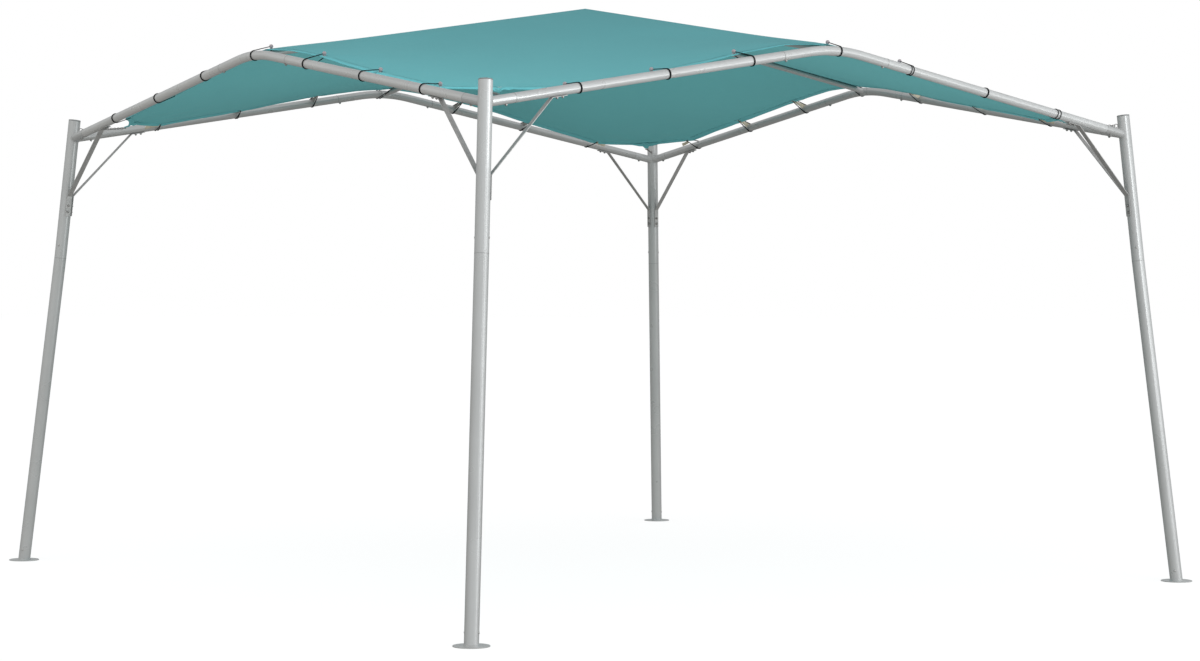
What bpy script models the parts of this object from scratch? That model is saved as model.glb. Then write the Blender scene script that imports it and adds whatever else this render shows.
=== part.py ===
"""A free-standing canopy gazebo with a butterfly roof.

Four round posts lean outward on flat foot plates. A side beam joins each pair of posts and rises to a
rounded bend in the middle. A thinner ridge tube climbs from every bend to a hub in the centre, and one
fabric sheet lies over the ridge tubes as four sloping quarters. The gazebo stands on z = 0, its middle
is on the Z axis, and the beams run along X and Y. Units are metres.
"""

import math

import bmesh
import bpy
from mathutils import Matrix, Vector

# Plan and heights of the posts, measured on the axis of the post at the front right corner
POST_OFFSET_AT_FLOOR = 1.980
POST_OFFSET_AT_SEAM = 1.846
POST_OFFSET_AT_BEAM = 1.800
SEAM_HEIGHT = 1.494
BEAM_HEIGHT_AT_POST = 2.080
POST_TOP_HEIGHT = 2.167
POST_RADIUS = 0.029

# Side beams, in the upright plane through two post heads
BEAM_RADIUS = 0.020
BEAM_PEAK_HEIGHT = 2.374
BEAM_BEND_RADIUS = 0.890
BEND_SECTION_HALF_LENGTH = 0.290
STUB_LENGTH = 0.135

# Ridge tubes, their saddles and the centre hub
RIDGE_RADIUS = 0.0125
RIDGE_HUB_HEIGHT = 2.676
SADDLE_HALF_LENGTH = 0.026
SADDLE_HALF_ANGLE = math.radians(62)
SADDLE_THICKNESS = 0.003
HUB_ARM_LENGTH = 0.075
HUB_CORE_RADIUS = 0.026
HUB_CORE_HEIGHT = 0.046

# Flat bar braces between a post and a beam
BRACE_WIDTH = 0.025
BRACE_THICKNESS = 0.003
BRACE_BEAM_BEND = 0.311
BRACE_BEAM_TAB = 0.072
BRACE_POST_BEND_HEIGHT = 1.800
BRACE_POST_TAB = 0.098
BRACE_BEND_RADIUS = 0.007

# Foot plates and post caps
PLATE_RADIUS = 0.0725
PLATE_THICKNESS = 0.004
CAP_THICKNESS = 0.006

# Roof sheet
CANOPY_THICKNESS = 0.003
CANOPY_LIFT = 0.0008
CANOPY_EDGE_INSET = 0.060
CANOPY_SCALLOP = 0.005
CANOPY_TIP_INSET = 0.185
EYELET_SPACING = 0.4515
CANOPY_STEPS = 20

# Clear space left between two pieces that touch
GAP = 0.0003

POST_SIDES = 28
BEAM_SIDES = 24
RIDGE_SIDES = 18

CORNERS = ("front_right", "back_right", "back_left", "front_left")
SIDES = ("front", "right", "back", "left")

STEEL = ("powder_coated_steel", (0.60, 0.61, 0.61), 0.38, 0.35)
BRACE_STEEL = ("brace_steel", (0.66, 0.67, 0.66), 0.34, 0.55)
CAP_PLASTIC = ("cap_plastic", (0.42, 0.42, 0.42), 0.55, 0.0)
FABRIC = ("canopy_fabric", (0.12, 0.42, 0.45), 0.85, 0.0)


def clear_scene():
    """Remove every object so that the file starts empty."""
    for item in list(bpy.data.objects):
        bpy.data.objects.remove(item, do_unlink=True)


def make_material(spec):
    """A Principled material from its name, colour, roughness and metallic value."""
    name, colour, roughness, metallic = spec
    material = bpy.data.materials.new(name)
    material.use_nodes = True
    shader = material.node_tree.nodes["Principled BSDF"]
    shader.inputs["Base Color"].default_value = (*colour, 1.0)
    shader.inputs["Roughness"].default_value = roughness
    shader.inputs["Metallic"].default_value = metallic
    material.diffuse_color = (*colour, 1.0)
    return material


def mesh_from(name, bm, material, smooth_angle=35.0):
    """Turn a bmesh into a mesh with outward faces, smooth between its sharp edges."""
    bmesh.ops.recalc_face_normals(bm, faces=bm.faces)
    mesh = bpy.data.meshes.new(name)
    bm.to_mesh(mesh)
    bm.free()
    mesh.materials.append(material)
    mesh.shade_smooth()
    mesh.set_sharp_from_angle(angle=math.radians(smooth_angle))
    return mesh


def place(name, mesh, turn=0):
    """Add a mesh as an object, turned by a number of quarter turns about the gazebo's middle."""
    item = bpy.data.objects.new(name, mesh)
    item.rotation_euler = (0.0, 0.0, turn * math.pi / 2)
    bpy.context.collection.objects.link(item)
    return item


def bridge_rings(bm, rings):
    """Join rings of vertices with quads and close both ends with one face each."""
    for near, far in zip(rings, rings[1:]):
        count = len(near)
        for i in range(count):
            j = (i + 1) % count
            bm.faces.new((near[i], near[j], far[j], far[i]))
    bm.faces.new(rings[0])
    bm.faces.new(rings[-1])


def add_round_bar(bm, points, radius, sides, side_axis, start_normal=None, end_normal=None):
    """Sweep a circle along points that lie in one plane.

    side_axis is the normal of that plane. Inner rings lie in the mitre planes, and the two ends are cut
    square unless a normal is given for the cut.
    """
    directions = [(b - a).normalized() for a, b in zip(points, points[1:])]
    rings = []
    for index, point in enumerate(points):
        before = directions[max(index - 1, 0)]
        after = directions[min(index, len(directions) - 1)]
        cut = (before + after).normalized()
        if index == 0 and start_normal is not None:
            cut = start_normal
        if index == len(points) - 1 and end_normal is not None:
            cut = end_normal
        lift_axis = side_axis.cross(before)
        ring = []
        for step in range(sides):
            angle = 2 * math.pi * step / sides
            offset = radius * (math.cos(angle) * side_axis + math.sin(angle) * lift_axis)
            slide = -offset.dot(cut) / before.dot(cut)
            ring.append(bm.verts.new(point + offset + before * slide))
        rings.append(ring)
    bridge_rings(bm, rings)


def add_turned_profile(bm, profile, sides, frame):
    """Turn a profile of (radius, height) points about the Z axis of a frame."""
    rings = []
    for radius, height in profile:
        ring = []
        for step in range(sides):
            angle = 2 * math.pi * step / sides
            local = Vector((radius * math.cos(angle), radius * math.sin(angle), height))
            ring.append(bm.verts.new(frame @ local))
        rings.append(ring)
    bridge_rings(bm, rings)


def united(name, parts, material):
    """Fuse closed meshes that cross each other into one mesh with exact unions."""
    base = bpy.data.objects.new(name, parts[0])
    bpy.context.collection.objects.link(base)
    guides = []
    for index, part in enumerate(parts[1:]):
        guide = bpy.data.objects.new(f"{name}_guide_{index}", part)
        guide.hide_render = True
        guide.display_type = "WIRE"
        bpy.context.collection.objects.link(guide)
        union = base.modifiers.new(f"union_{index}", "BOOLEAN")
        union.operation = "UNION"
        union.solver = "EXACT"
        union.object = guide
        guides.append(guide)
    graph = bpy.context.evaluated_depsgraph_get()
    fused = bpy.data.meshes.new_from_object(base.evaluated_get(graph))
    for item in [base, *guides]:
        bpy.data.objects.remove(item, do_unlink=True)
    bm = bmesh.new()
    bm.from_mesh(fused)
    bmesh.ops.remove_doubles(bm, verts=bm.verts, dist=0.00002)
    bpy.data.meshes.remove(fused)
    return mesh_from(name, bm, material)


def beam_slope():
    """Angle of a side beam's straight runs, so that they leave the bend at a tangent."""
    low, high = 0.0, math.radians(45)
    for _ in range(60):
        angle = (low + high) / 2
        if beam_height(POST_OFFSET_AT_BEAM, angle) > BEAM_HEIGHT_AT_POST:
            low = angle
        else:
            high = angle
    return angle


def beam_height(distance, slope):
    """Height of a side beam's axis at a distance from the middle of its side."""
    distance = abs(distance)
    tangent = BEAM_BEND_RADIUS * math.sin(slope)
    if distance < tangent:
        return BEAM_PEAK_HEIGHT - BEAM_BEND_RADIUS + math.sqrt(BEAM_BEND_RADIUS**2 - distance**2)
    drop = BEAM_BEND_RADIUS * (1 - math.cos(slope))
    return BEAM_PEAK_HEIGHT - drop - (distance - tangent) * math.tan(slope)


BEAM_SLOPE = beam_slope()
SIDE_PLANE = -POST_OFFSET_AT_BEAM
RIDGE_SLOPE = math.atan2(RIDGE_HUB_HEIGHT - BEAM_PEAK_HEIGHT, POST_OFFSET_AT_BEAM)
CANOPY_FALL = math.tan(RIDGE_SLOPE)
CANOPY_UNDERSIDE_TOP = RIDGE_HUB_HEIGHT + RIDGE_RADIUS / math.cos(RIDGE_SLOPE) + CANOPY_LIFT


def post_axis(height):
    """Point on the axis of the front right post at a height."""
    if height >= SEAM_HEIGHT:
        share = (height - SEAM_HEIGHT) / (BEAM_HEIGHT_AT_POST - SEAM_HEIGHT)
        offset = POST_OFFSET_AT_SEAM + (POST_OFFSET_AT_BEAM - POST_OFFSET_AT_SEAM) * share
    else:
        share = height / SEAM_HEIGHT
        offset = POST_OFFSET_AT_FLOOR + (POST_OFFSET_AT_SEAM - POST_OFFSET_AT_FLOOR) * share
    return Vector((offset, -offset, height))


UPPER_POST_DIRECTION = (post_axis(POST_TOP_HEIGHT) - post_axis(SEAM_HEIGHT)).normalized()
LOWER_POST_DIRECTION = (post_axis(SEAM_HEIGHT) - post_axis(0.0)).normalized()
POST_SIDE_AXIS = Vector((1.0, 1.0, 0.0)).normalized()


def beam_point(distance):
    """Point on the front beam's axis, a signed distance along X from the middle of the side."""
    return Vector((distance, SIDE_PLANE, beam_height(distance, BEAM_SLOPE)))


def foot_plate_mesh(material):
    """Round plate with eased edges that the post stands on."""
    frame = Matrix.Translation(post_axis(0.0).to_2d().to_3d())
    profile = [
        (PLATE_RADIUS - 0.0008, 0.0),
        (PLATE_RADIUS, 0.0008),
        (PLATE_RADIUS, PLATE_THICKNESS - 0.001),
        (PLATE_RADIUS - 0.001, PLATE_THICKNESS),
    ]
    bm = bmesh.new()
    add_turned_profile(bm, profile, 40, frame)
    return mesh_from("foot_plate", bm, material, 25.0)


def lower_post_mesh(material):
    """Lower post section, cut level over the foot plate and square at the seam."""
    seam_cut = (UPPER_POST_DIRECTION + LOWER_POST_DIRECTION).normalized()
    bottom = post_axis(PLATE_THICKNESS + GAP)
    top = post_axis(SEAM_HEIGHT) - LOWER_POST_DIRECTION * GAP / 2
    bm = bmesh.new()
    add_round_bar(bm, [bottom, top], POST_RADIUS, POST_SIDES, POST_SIDE_AXIS, Vector((0, 0, 1)), seam_cut)
    return mesh_from("lower_post", bm, material)


def beam_stub_mesh(material, towards):
    """Stub of side beam welded to the post head, along -X or along +Y."""
    start = Vector((POST_OFFSET_AT_BEAM, SIDE_PLANE, BEAM_HEIGHT_AT_POST))
    flat = Vector((-1, 0, 0)) if towards == "x" else Vector((0, 1, 0))
    direction = flat * math.cos(BEAM_SLOPE) + Vector((0, 0, 1)) * math.sin(BEAM_SLOPE)
    side_axis = flat.cross(Vector((0, 0, 1)))
    end = start + direction * (STUB_LENGTH / math.cos(BEAM_SLOPE) - GAP / 2)
    bm = bmesh.new()
    add_round_bar(bm, [start, end], BEAM_RADIUS, BEAM_SIDES, side_axis)
    return mesh_from(f"stub_{towards}", bm, material)


def upper_post_mesh(material):
    """Upper post section with its two welded beam stubs."""
    seam_cut = (UPPER_POST_DIRECTION + LOWER_POST_DIRECTION).normalized()
    bottom = post_axis(SEAM_HEIGHT) + UPPER_POST_DIRECTION * GAP / 2
    top = post_axis(POST_TOP_HEIGHT)
    bm = bmesh.new()
    add_round_bar(bm, [bottom, top], POST_RADIUS, POST_SIDES, POST_SIDE_AXIS, seam_cut, None)
    bar = mesh_from("upper_post_bar", bm, material)
    stubs = [beam_stub_mesh(material, towards) for towards in ("x", "y")]
    return united("upper_post", [bar, *stubs], material)


def post_cap_mesh(material):
    """Low domed plug on the post's top."""
    frame = Matrix.Translation(post_axis(POST_TOP_HEIGHT) + UPPER_POST_DIRECTION * GAP)
    frame = frame @ UPPER_POST_DIRECTION.to_track_quat("Z", "Y").to_matrix().to_4x4()
    edge = CAP_THICKNESS * 0.5
    profile = [
        (POST_RADIUS, 0.0),
        (POST_RADIUS, edge * 0.7),
        (POST_RADIUS - edge * 0.35, edge * 1.2),
        (POST_RADIUS - edge, edge * 1.5),
        (POST_RADIUS * 0.5, CAP_THICKNESS * 0.94),
        (POST_RADIUS * 0.12, CAP_THICKNESS),
    ]
    bm = bmesh.new()
    add_turned_profile(bm, profile, POST_SIDES, frame)
    return mesh_from("post_cap", bm, material, 50.0)


def side_beam_mesh(material, hand):
    """Straight beam section between the bend and a stub; hand is the sign of its X side."""
    inner = beam_point(hand * BEND_SECTION_HALF_LENGTH)
    outer = beam_point(hand * (POST_OFFSET_AT_BEAM - STUB_LENGTH))
    along = (outer - inner).normalized()
    bm = bmesh.new()
    ends = [inner + along * GAP / 2, outer - along * GAP / 2]
    add_round_bar(bm, ends, BEAM_RADIUS, BEAM_SIDES, Vector((0, 1, 0)))
    return mesh_from(f"side_beam_{hand:+d}", bm, material)


def beam_bend_mesh(material):
    """Middle beam section: an arc with a short straight run at both ends."""
    arc_steps = 10
    points = [beam_point(-BEND_SECTION_HALF_LENGTH) + Vector((GAP / 2, 0, 0))]
    for step in range(arc_steps + 1):
        angle = BEAM_SLOPE * (2 * step / arc_steps - 1)
        points.append(beam_point(BEAM_BEND_RADIUS * math.sin(angle)))
    points.append(beam_point(BEND_SECTION_HALF_LENGTH) - Vector((GAP / 2, 0, 0)))
    bm = bmesh.new()
    add_round_bar(bm, points, BEAM_RADIUS, BEAM_SIDES, Vector((0, 1, 0)))
    return mesh_from("beam_bend", bm, material)


def saddle_mesh(material):
    """Curved plate that hugs the inner side of a beam at its bend."""
    inner = BEAM_RADIUS + 2 * GAP
    outer = inner + SADDLE_THICKNESS
    steps = 10
    profile = []
    for radius, order in ((inner, range(steps + 1)), (outer, range(steps, -1, -1))):
        for step in order:
            angle = SADDLE_HALF_ANGLE * (2 * step / steps - 1)
            profile.append((radius * math.cos(angle), radius * math.sin(angle)))
    bm = bmesh.new()
    rings = []
    for share in (-1.0, -0.5, 0.0, 0.5, 1.0):
        angle = share * SADDLE_HALF_LENGTH / BEAM_BEND_RADIUS
        centre = beam_point(BEAM_BEND_RADIUS * math.sin(angle))
        up = Vector((math.sin(angle), 0, math.cos(angle)))
        rings.append([bm.verts.new(centre + Vector((0, y, 0)) + up * z) for y, z in profile])
    bridge_rings(bm, rings)
    return mesh_from("saddle", bm, material)


def ridge_tube_mesh(material):
    """Ridge tube of the front side with its saddle fused to its low end."""
    low = Vector((0, SIDE_PLANE, BEAM_PEAK_HEIGHT))
    high = Vector((0, 0, RIDGE_HUB_HEIGHT))
    along = (high - low).normalized()
    start = low + along * (BEAM_RADIUS + 2 * GAP + SADDLE_THICKNESS * 0.6) / along.y
    end = high - along * (HUB_ARM_LENGTH + GAP)
    bm = bmesh.new()
    level = Vector((0, 1, 0))
    add_round_bar(bm, [start, end], RIDGE_RADIUS, RIDGE_SIDES, Vector((1, 0, 0)), level, None)
    bar = mesh_from("ridge_bar", bm, material)
    return united("ridge_tube", [bar, saddle_mesh(material)], material)


def centre_hub_mesh(material):
    """Round core with four arms that meet the ridge tubes."""
    bm = bmesh.new()
    half = HUB_CORE_HEIGHT / 2
    crown = RIDGE_RADIUS * 0.55
    profile = [
        (HUB_CORE_RADIUS - 0.004, -half),
        (HUB_CORE_RADIUS, -half + 0.004),
        (HUB_CORE_RADIUS, crown - 0.003),
        (HUB_CORE_RADIUS - 0.004, crown),
    ]
    add_turned_profile(bm, profile, 28, Matrix.Translation((0, 0, RIDGE_HUB_HEIGHT)))
    parts = [mesh_from("hub_core", bm, material)]
    for turn in range(4):
        quarter = Matrix.Rotation(turn * math.pi / 2, 3, "Z")
        along = quarter @ Vector((0, -math.cos(RIDGE_SLOPE), -math.sin(RIDGE_SLOPE)))
        start = Vector((0, 0, RIDGE_HUB_HEIGHT)) + along * HUB_CORE_RADIUS * 0.3
        end = Vector((0, 0, RIDGE_HUB_HEIGHT)) + along * HUB_ARM_LENGTH
        bm = bmesh.new()
        add_round_bar(bm, [start, end], RIDGE_RADIUS, RIDGE_SIDES, quarter @ Vector((1, 0, 0)))
        parts.append(mesh_from(f"hub_arm_{turn}", bm, material))
    return united("centre_hub", parts, material)


def fillet_path(points, radius, steps=4):
    """Round the inner corners of a path of points with arcs."""
    path = [points[0]]
    for before, corner, after in zip(points, points[1:], points[2:]):
        come = (before - corner).normalized()
        go = (after - corner).normalized()
        half = come.angle(go) / 2
        reach = radius / math.tan(half)
        centre = corner + (come + go).normalized() * radius / math.sin(half)
        first = (corner + come * reach - centre).normalized()
        last = (corner + go * reach - centre).normalized()
        for step in range(steps + 1):
            path.append(centre + first.slerp(last, step / steps) * radius)
    path.append(points[-1])
    return path


def brace_mesh(material, towards):
    """Flat bar from the front right post to one of its beams, with a bent tab at both ends."""
    flat = Vector((-1, 0, 0)) if towards == "x" else Vector((0, 1, 0))
    across = Vector((0, 1, 0)) if towards == "x" else Vector((1, 0, 0))
    seat = BRACE_THICKNESS / 2 + GAP

    corner = Vector((POST_OFFSET_AT_BEAM, SIDE_PLANE, BEAM_HEIGHT_AT_POST))
    rise = flat * math.cos(BEAM_SLOPE) + Vector((0, 0, 1)) * math.sin(BEAM_SLOPE)
    under = flat * math.sin(BEAM_SLOPE) - Vector((0, 0, 1)) * math.cos(BEAM_SLOPE)
    beam_bend = corner + rise * BRACE_BEAM_BEND / math.cos(BEAM_SLOPE) + under * (BEAM_RADIUS + seat)
    beam_end = beam_bend + rise * BRACE_BEAM_TAB

    down = -UPPER_POST_DIRECTION
    face = (flat - down * flat.dot(down)).normalized()
    post_bend = post_axis(BRACE_POST_BEND_HEIGHT) + face * (POST_RADIUS + seat)
    post_end = post_bend + down * BRACE_POST_TAB

    path = fillet_path([beam_end, beam_bend, post_bend, post_end], BRACE_BEND_RADIUS)
    post_across = down.cross(face).normalized()
    if post_across.dot(across) < 0:
        post_across = -post_across

    bm = bmesh.new()
    rings = []
    middle = (len(path) - 1) / 2
    for index, point in enumerate(path):
        before = (path[max(index, 1)] - path[max(index, 1) - 1]).normalized()
        after_index = min(index + 1, len(path) - 1)
        after = (path[after_index] - path[after_index - 1]).normalized()
        forward = (before + after).normalized()
        wide = across if index < middle else post_across
        wide = (wide - forward * wide.dot(forward)).normalized()
        thick = forward.cross(wide).normalized() * BRACE_THICKNESS / 2 / forward.dot(before)
        wide = wide * BRACE_WIDTH / 2
        rings.append([bm.verts.new(point + wide * a + thick * b)
                      for a, b in ((-1, -1), (1, -1), (1, 1), (-1, 1))])
    bridge_rings(bm, rings)
    return mesh_from(f"brace_{towards}", bm, material, 25.0)


def canopy_half_width(share):
    """Distance from the middle to the sheet's edge at a share of the way to its corner."""
    full = POST_OFFSET_AT_BEAM - CANOPY_EDGE_INSET
    tip = POST_OFFSET_AT_BEAM - CANOPY_TIP_INSET
    along = share * tip
    last_eyelet = 3 * EYELET_SPACING
    if along <= last_eyelet:
        cell = (along / EYELET_SPACING) % 1.0
        return full - CANOPY_SCALLOP * 4 * cell * (1 - cell)
    cell = (along - last_eyelet) / (tip - last_eyelet)
    return full - CANOPY_SCALLOP * 4 * cell * (1 - cell) - (full - tip) * cell


def canopy_mesh(material):
    """Thin closed sheet of four flat quarters that slope from the hub to the corners."""
    steps = range(-CANOPY_STEPS, CANOPY_STEPS + 1)
    bm = bmesh.new()
    layers = []
    for lift in (0.0, CANOPY_THICKNESS):
        grid = {}
        for i in steps:
            for j in steps:
                a, b = i / CANOPY_STEPS, j / CANOPY_STEPS
                x = a * canopy_half_width(abs(b))
                y = b * canopy_half_width(abs(a))
                z = CANOPY_UNDERSIDE_TOP - CANOPY_FALL * (abs(x) + abs(y)) + lift
                grid[i, j] = bm.verts.new((x, y, z))
        layers.append(grid)
    low, high = layers
    for i in steps[:-1]:
        for j in steps[:-1]:
            bm.faces.new((low[i, j], low[i, j + 1], low[i + 1, j + 1], low[i + 1, j]))
            bm.faces.new((high[i, j], high[i + 1, j], high[i + 1, j + 1], high[i, j + 1]))
    first, last = steps[0], steps[-1]
    rim = [(i, first) for i in steps[:-1]] + [(last, j) for j in steps[:-1]]
    rim += [(i, last) for i in reversed(steps[1:])] + [(first, j) for j in reversed(steps[1:])]
    for here, there in zip(rim, rim[1:] + rim[:1]):
        bm.faces.new((low[here], low[there], high[there], high[here]))
    return mesh_from("roof_canopy", bm, material)


def build():
    """Make every piece of the gazebo."""
    clear_scene()
    steel = make_material(STEEL)
    brace_steel = make_material(BRACE_STEEL)
    plastic = make_material(CAP_PLASTIC)
    fabric = make_material(FABRIC)

    corner_kinds = {
        "foot_plate": foot_plate_mesh(steel),
        "lower_post": lower_post_mesh(steel),
        "upper_post": upper_post_mesh(steel),
        "post_cap": post_cap_mesh(plastic),
    }
    for kind, mesh in corner_kinds.items():
        for turn, corner in enumerate(CORNERS):
            place(f"{kind}_{corner}", mesh, turn)

    bend = beam_bend_mesh(steel)
    ridge = ridge_tube_mesh(steel)
    beam_at = {hand: side_beam_mesh(steel, hand) for hand in (1, -1)}
    for turn, side in enumerate(SIDES):
        place(f"beam_bend_{side}", bend, turn)
        place(f"ridge_tube_{side}", ridge, turn)
        place(f"side_beam_{side}_end_1", beam_at[1], turn)
        place(f"side_beam_{side}_end_2", beam_at[-1], turn)

    brace_along_x = brace_mesh(brace_steel, "x")
    brace_along_y = brace_mesh(brace_steel, "y")
    for turn, corner in enumerate(CORNERS):
        place(f"brace_{corner}_1", brace_along_x, turn)
        place(f"brace_{corner}_2", brace_along_y, turn)

    place("centre_hub", centre_hub_mesh(steel))
    place("roof_canopy", canopy_mesh(fabric))


build()
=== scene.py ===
# %% [markdown]
# # A canopy gazebo with a butterfly roof
# The imported frame already holds the posts, beams, braces, ridge tubes and hub at their real size. This
# lesson gives those pieces their finish and then adds what a fitter would add last: the stretched roof
# cloth with its hem and eyelets, the elastic ball loops that tie it to the beams, the corner ties, the
# webbing, the bolts, the joint rings and the weld beads. The joint rings are dark and paint the shadow
# in the gaps where the tubes meet. Lengths are in metres.

# %% Load the frame
import math

import bmesh
import bpy
import numpy as np
from mathutils import Matrix, Vector, noise


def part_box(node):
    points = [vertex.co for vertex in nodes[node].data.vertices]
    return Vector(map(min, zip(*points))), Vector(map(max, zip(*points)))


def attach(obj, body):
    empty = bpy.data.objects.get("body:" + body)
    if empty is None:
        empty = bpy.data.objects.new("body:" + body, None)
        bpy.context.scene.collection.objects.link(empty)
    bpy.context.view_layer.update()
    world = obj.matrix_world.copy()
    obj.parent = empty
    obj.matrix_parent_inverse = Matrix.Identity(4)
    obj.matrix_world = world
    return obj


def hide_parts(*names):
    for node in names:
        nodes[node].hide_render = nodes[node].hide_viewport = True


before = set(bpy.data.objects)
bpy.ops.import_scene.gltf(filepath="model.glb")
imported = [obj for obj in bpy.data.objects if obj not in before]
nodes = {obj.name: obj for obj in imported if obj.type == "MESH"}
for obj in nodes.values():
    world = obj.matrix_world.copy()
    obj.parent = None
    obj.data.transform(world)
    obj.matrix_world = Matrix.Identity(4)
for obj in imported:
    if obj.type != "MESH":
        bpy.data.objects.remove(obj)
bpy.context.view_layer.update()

# %% [markdown]
# ## Camera
# The gazebo is looked at from a little below head height, past its front right corner, through a short
# telephoto lens. A camera can be aimed with a Track To constraint, but its roll and shift are clearer
# when the turn is built from three plain rotations: heading, tilt and roll. The small shift stands for
# a picture that was cropped a little to one side.

# %% Camera
CAMERA_PLACE = (10.6372, -7.8049, 1.3898)
CAMERA_HEADING = math.radians(52.941)
CAMERA_TILT = math.radians(-1.6175)
CAMERA_ROLL = math.radians(0.208)
CAMERA_LENS = 82.53
CAMERA_SHIFT = (-0.0184, 0.0236)


def add_object(name, data):
    """A new object in the scene for a mesh, a lamp or a camera."""
    item = bpy.data.objects.new(name, data)
    bpy.context.collection.objects.link(item)
    return item


camera = add_object("camera", bpy.data.cameras.new("camera"))
camera.data.lens = CAMERA_LENS
camera.data.sensor_width = 36.0
camera.data.shift_x, camera.data.shift_y = CAMERA_SHIFT
camera.data.clip_end = 200.0
heading = Matrix.Rotation(CAMERA_HEADING, 4, "Z")
tilt = Matrix.Rotation(math.pi / 2 + CAMERA_TILT, 4, "X")
roll = Matrix.Rotation(CAMERA_ROLL, 4, "Z")
camera.matrix_world = Matrix.Translation(CAMERA_PLACE) @ heading @ tilt @ roll
bpy.context.scene.camera = camera
print("camera height:", CAMERA_PLACE[2])

# %% [markdown]
# ## A helper for nodes
# Materials and Geometry Nodes are both trees of nodes. One helper adds a node, sets its options and
# fills its inputs, either with a plain value or with the socket of an earlier node. It keeps each tree
# below as short as a sketch of it on paper.

# %% Node helper
def add_node(tree, kind, inputs=None, **options):
    """Add a node; inputs maps a socket's name or number to a value or to another node's socket."""
    node = tree.nodes.new(kind)
    for name, value in options.items():
        setattr(node, name, value)
    for name, value in (inputs or {}).items():
        if isinstance(value, bpy.types.NodeSocket):
            tree.links.new(value, node.inputs[name])
        else:
            node.inputs[name].default_value = value
    return node


def maths(tree, operation, first, second):
    """Socket with the result of a sum on two numbers or sockets."""
    return add_node(tree, "ShaderNodeMath", {0: first, 1: second}, operation=operation).outputs[0]


def new_material(name, roughness, metallic=0.0, **sockets):
    """A Principled material; sockets such as coat_weight are set on the shader itself."""
    material = bpy.data.materials.new(name)
    material.use_nodes = True
    shader = material.node_tree.nodes["Principled BSDF"]
    shader.inputs["Roughness"].default_value = roughness
    shader.inputs["Metallic"].default_value = metallic
    for socket, value in sockets.items():
        shader.inputs[socket.replace("_", " ").title()].default_value = value
    return material, material.node_tree, shader

# %% [markdown]
# ## Floor, surroundings and lamps
# The floor is a plain pale disc, so large that its rim is never seen. It is drawn white and takes soft
# contact shadows, but it sends no light back, because the gazebo is lit like one that stands outdoors:
# bright from above, dim from below. The surroundings do the same with a gradient from the dim lower
# half to the bright upper half, in front of a white backdrop that only the camera sees.

# %% Floor
FLOOR_RADIUS = 90.0
FLOOR_DROP = 0.0004
FLOOR_COLOUR = (0.25, 0.25, 0.25, 1.0)
FLOOR_GLOW = 0.84

bpy.ops.mesh.primitive_circle_add(vertices=96, radius=FLOOR_RADIUS, fill_type="NGON",
                                  location=(0, 0, -FLOOR_DROP))
floor = bpy.context.object
floor.name = "studio_floor"
floor_material, _, floor_shader = new_material("pale_floor", 0.9, emission_strength=FLOOR_GLOW)
floor_shader.inputs["Base Color"].default_value = FLOOR_COLOUR
floor_shader.inputs["Emission Color"].default_value = (1, 1, 1, 1)
floor_shader.inputs["Specular IOR Level"].default_value = 0.0
floor.data.materials.append(floor_material)
floor.visible_diffuse = floor.visible_glossy = False

# %% Surroundings
SKY_BANDS = ((0.47, (0.36, 0.36, 0.35, 1.0)), (0.55, (0.80, 0.82, 0.83, 1.0)),
             (0.70, (0.82, 0.84, 0.85, 1.0)), (0.95, (0.55, 0.56, 0.57, 1.0)))
BACKDROP_COLOUR = (1.0, 1.0, 1.0, 1.0)
BRIGHT_SIDE = Vector((1.0, -0.35, 0.0)).normalized()
SIDE_SWING = 0.42

world = bpy.data.worlds.new("studio")
world.use_nodes = True
bpy.context.scene.world = world
sky = world.node_tree
view = add_node(sky, "ShaderNodeTexCoord").outputs["Generated"]
split = add_node(sky, "ShaderNodeSeparateXYZ", {0: view})
share = add_node(sky, "ShaderNodeMapRange", {"Value": split.outputs["Z"], "From Min": -1.0})
light = add_node(sky, "ShaderNodeValToRGB", {"Fac": share.outputs["Result"]})
while len(light.color_ramp.elements) < len(SKY_BANDS):
    light.color_ramp.elements.new(0.5)
for band, (position, colour) in zip(light.color_ramp.elements, SKY_BANDS):
    band.position, band.color = position, colour
facing = add_node(sky, "ShaderNodeVectorMath", {0: view, 1: BRIGHT_SIDE}, operation="DOT_PRODUCT")
swing = add_node(sky, "ShaderNodeMath", {
    0: facing.outputs["Value"], 1: SIDE_SWING, 2: 1.0}, operation="MULTIPLY_ADD")
sided = add_node(sky, "ShaderNodeVectorMath", {
    0: light.outputs["Color"], "Scale": swing.outputs[0]}, operation="SCALE")
ray = add_node(sky, "ShaderNodeLightPath")
mix = add_node(sky, "ShaderNodeMix", {
    0: ray.outputs["Is Camera Ray"], 6: sided.outputs[0], 7: BACKDROP_COLOUR}, data_type="RGBA")
sky.links.new(mix.outputs[2], sky.nodes["Background"].inputs["Color"])
bpy.context.scene.view_settings.view_transform = "Standard"

# %% [markdown]
# A tall soft lamp stands to the right: round tubes mirror it as the narrow bright line that makes them
# read as round. A wide panel beside it lights all the sides that face right, and a weak warm lamp
# stands on the left. Thin dyed cloth also glows with the daylight that soaks through it, so two more
# lamps, one over the front corner and one under the roof, are linked to the cloth alone. Two low lamps
# are linked to the two near beams and a small one to the near post, for the light that the pale ground
# throws up there. The far beams stand in the shade of the roof, so both right lamps leave them out.

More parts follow.
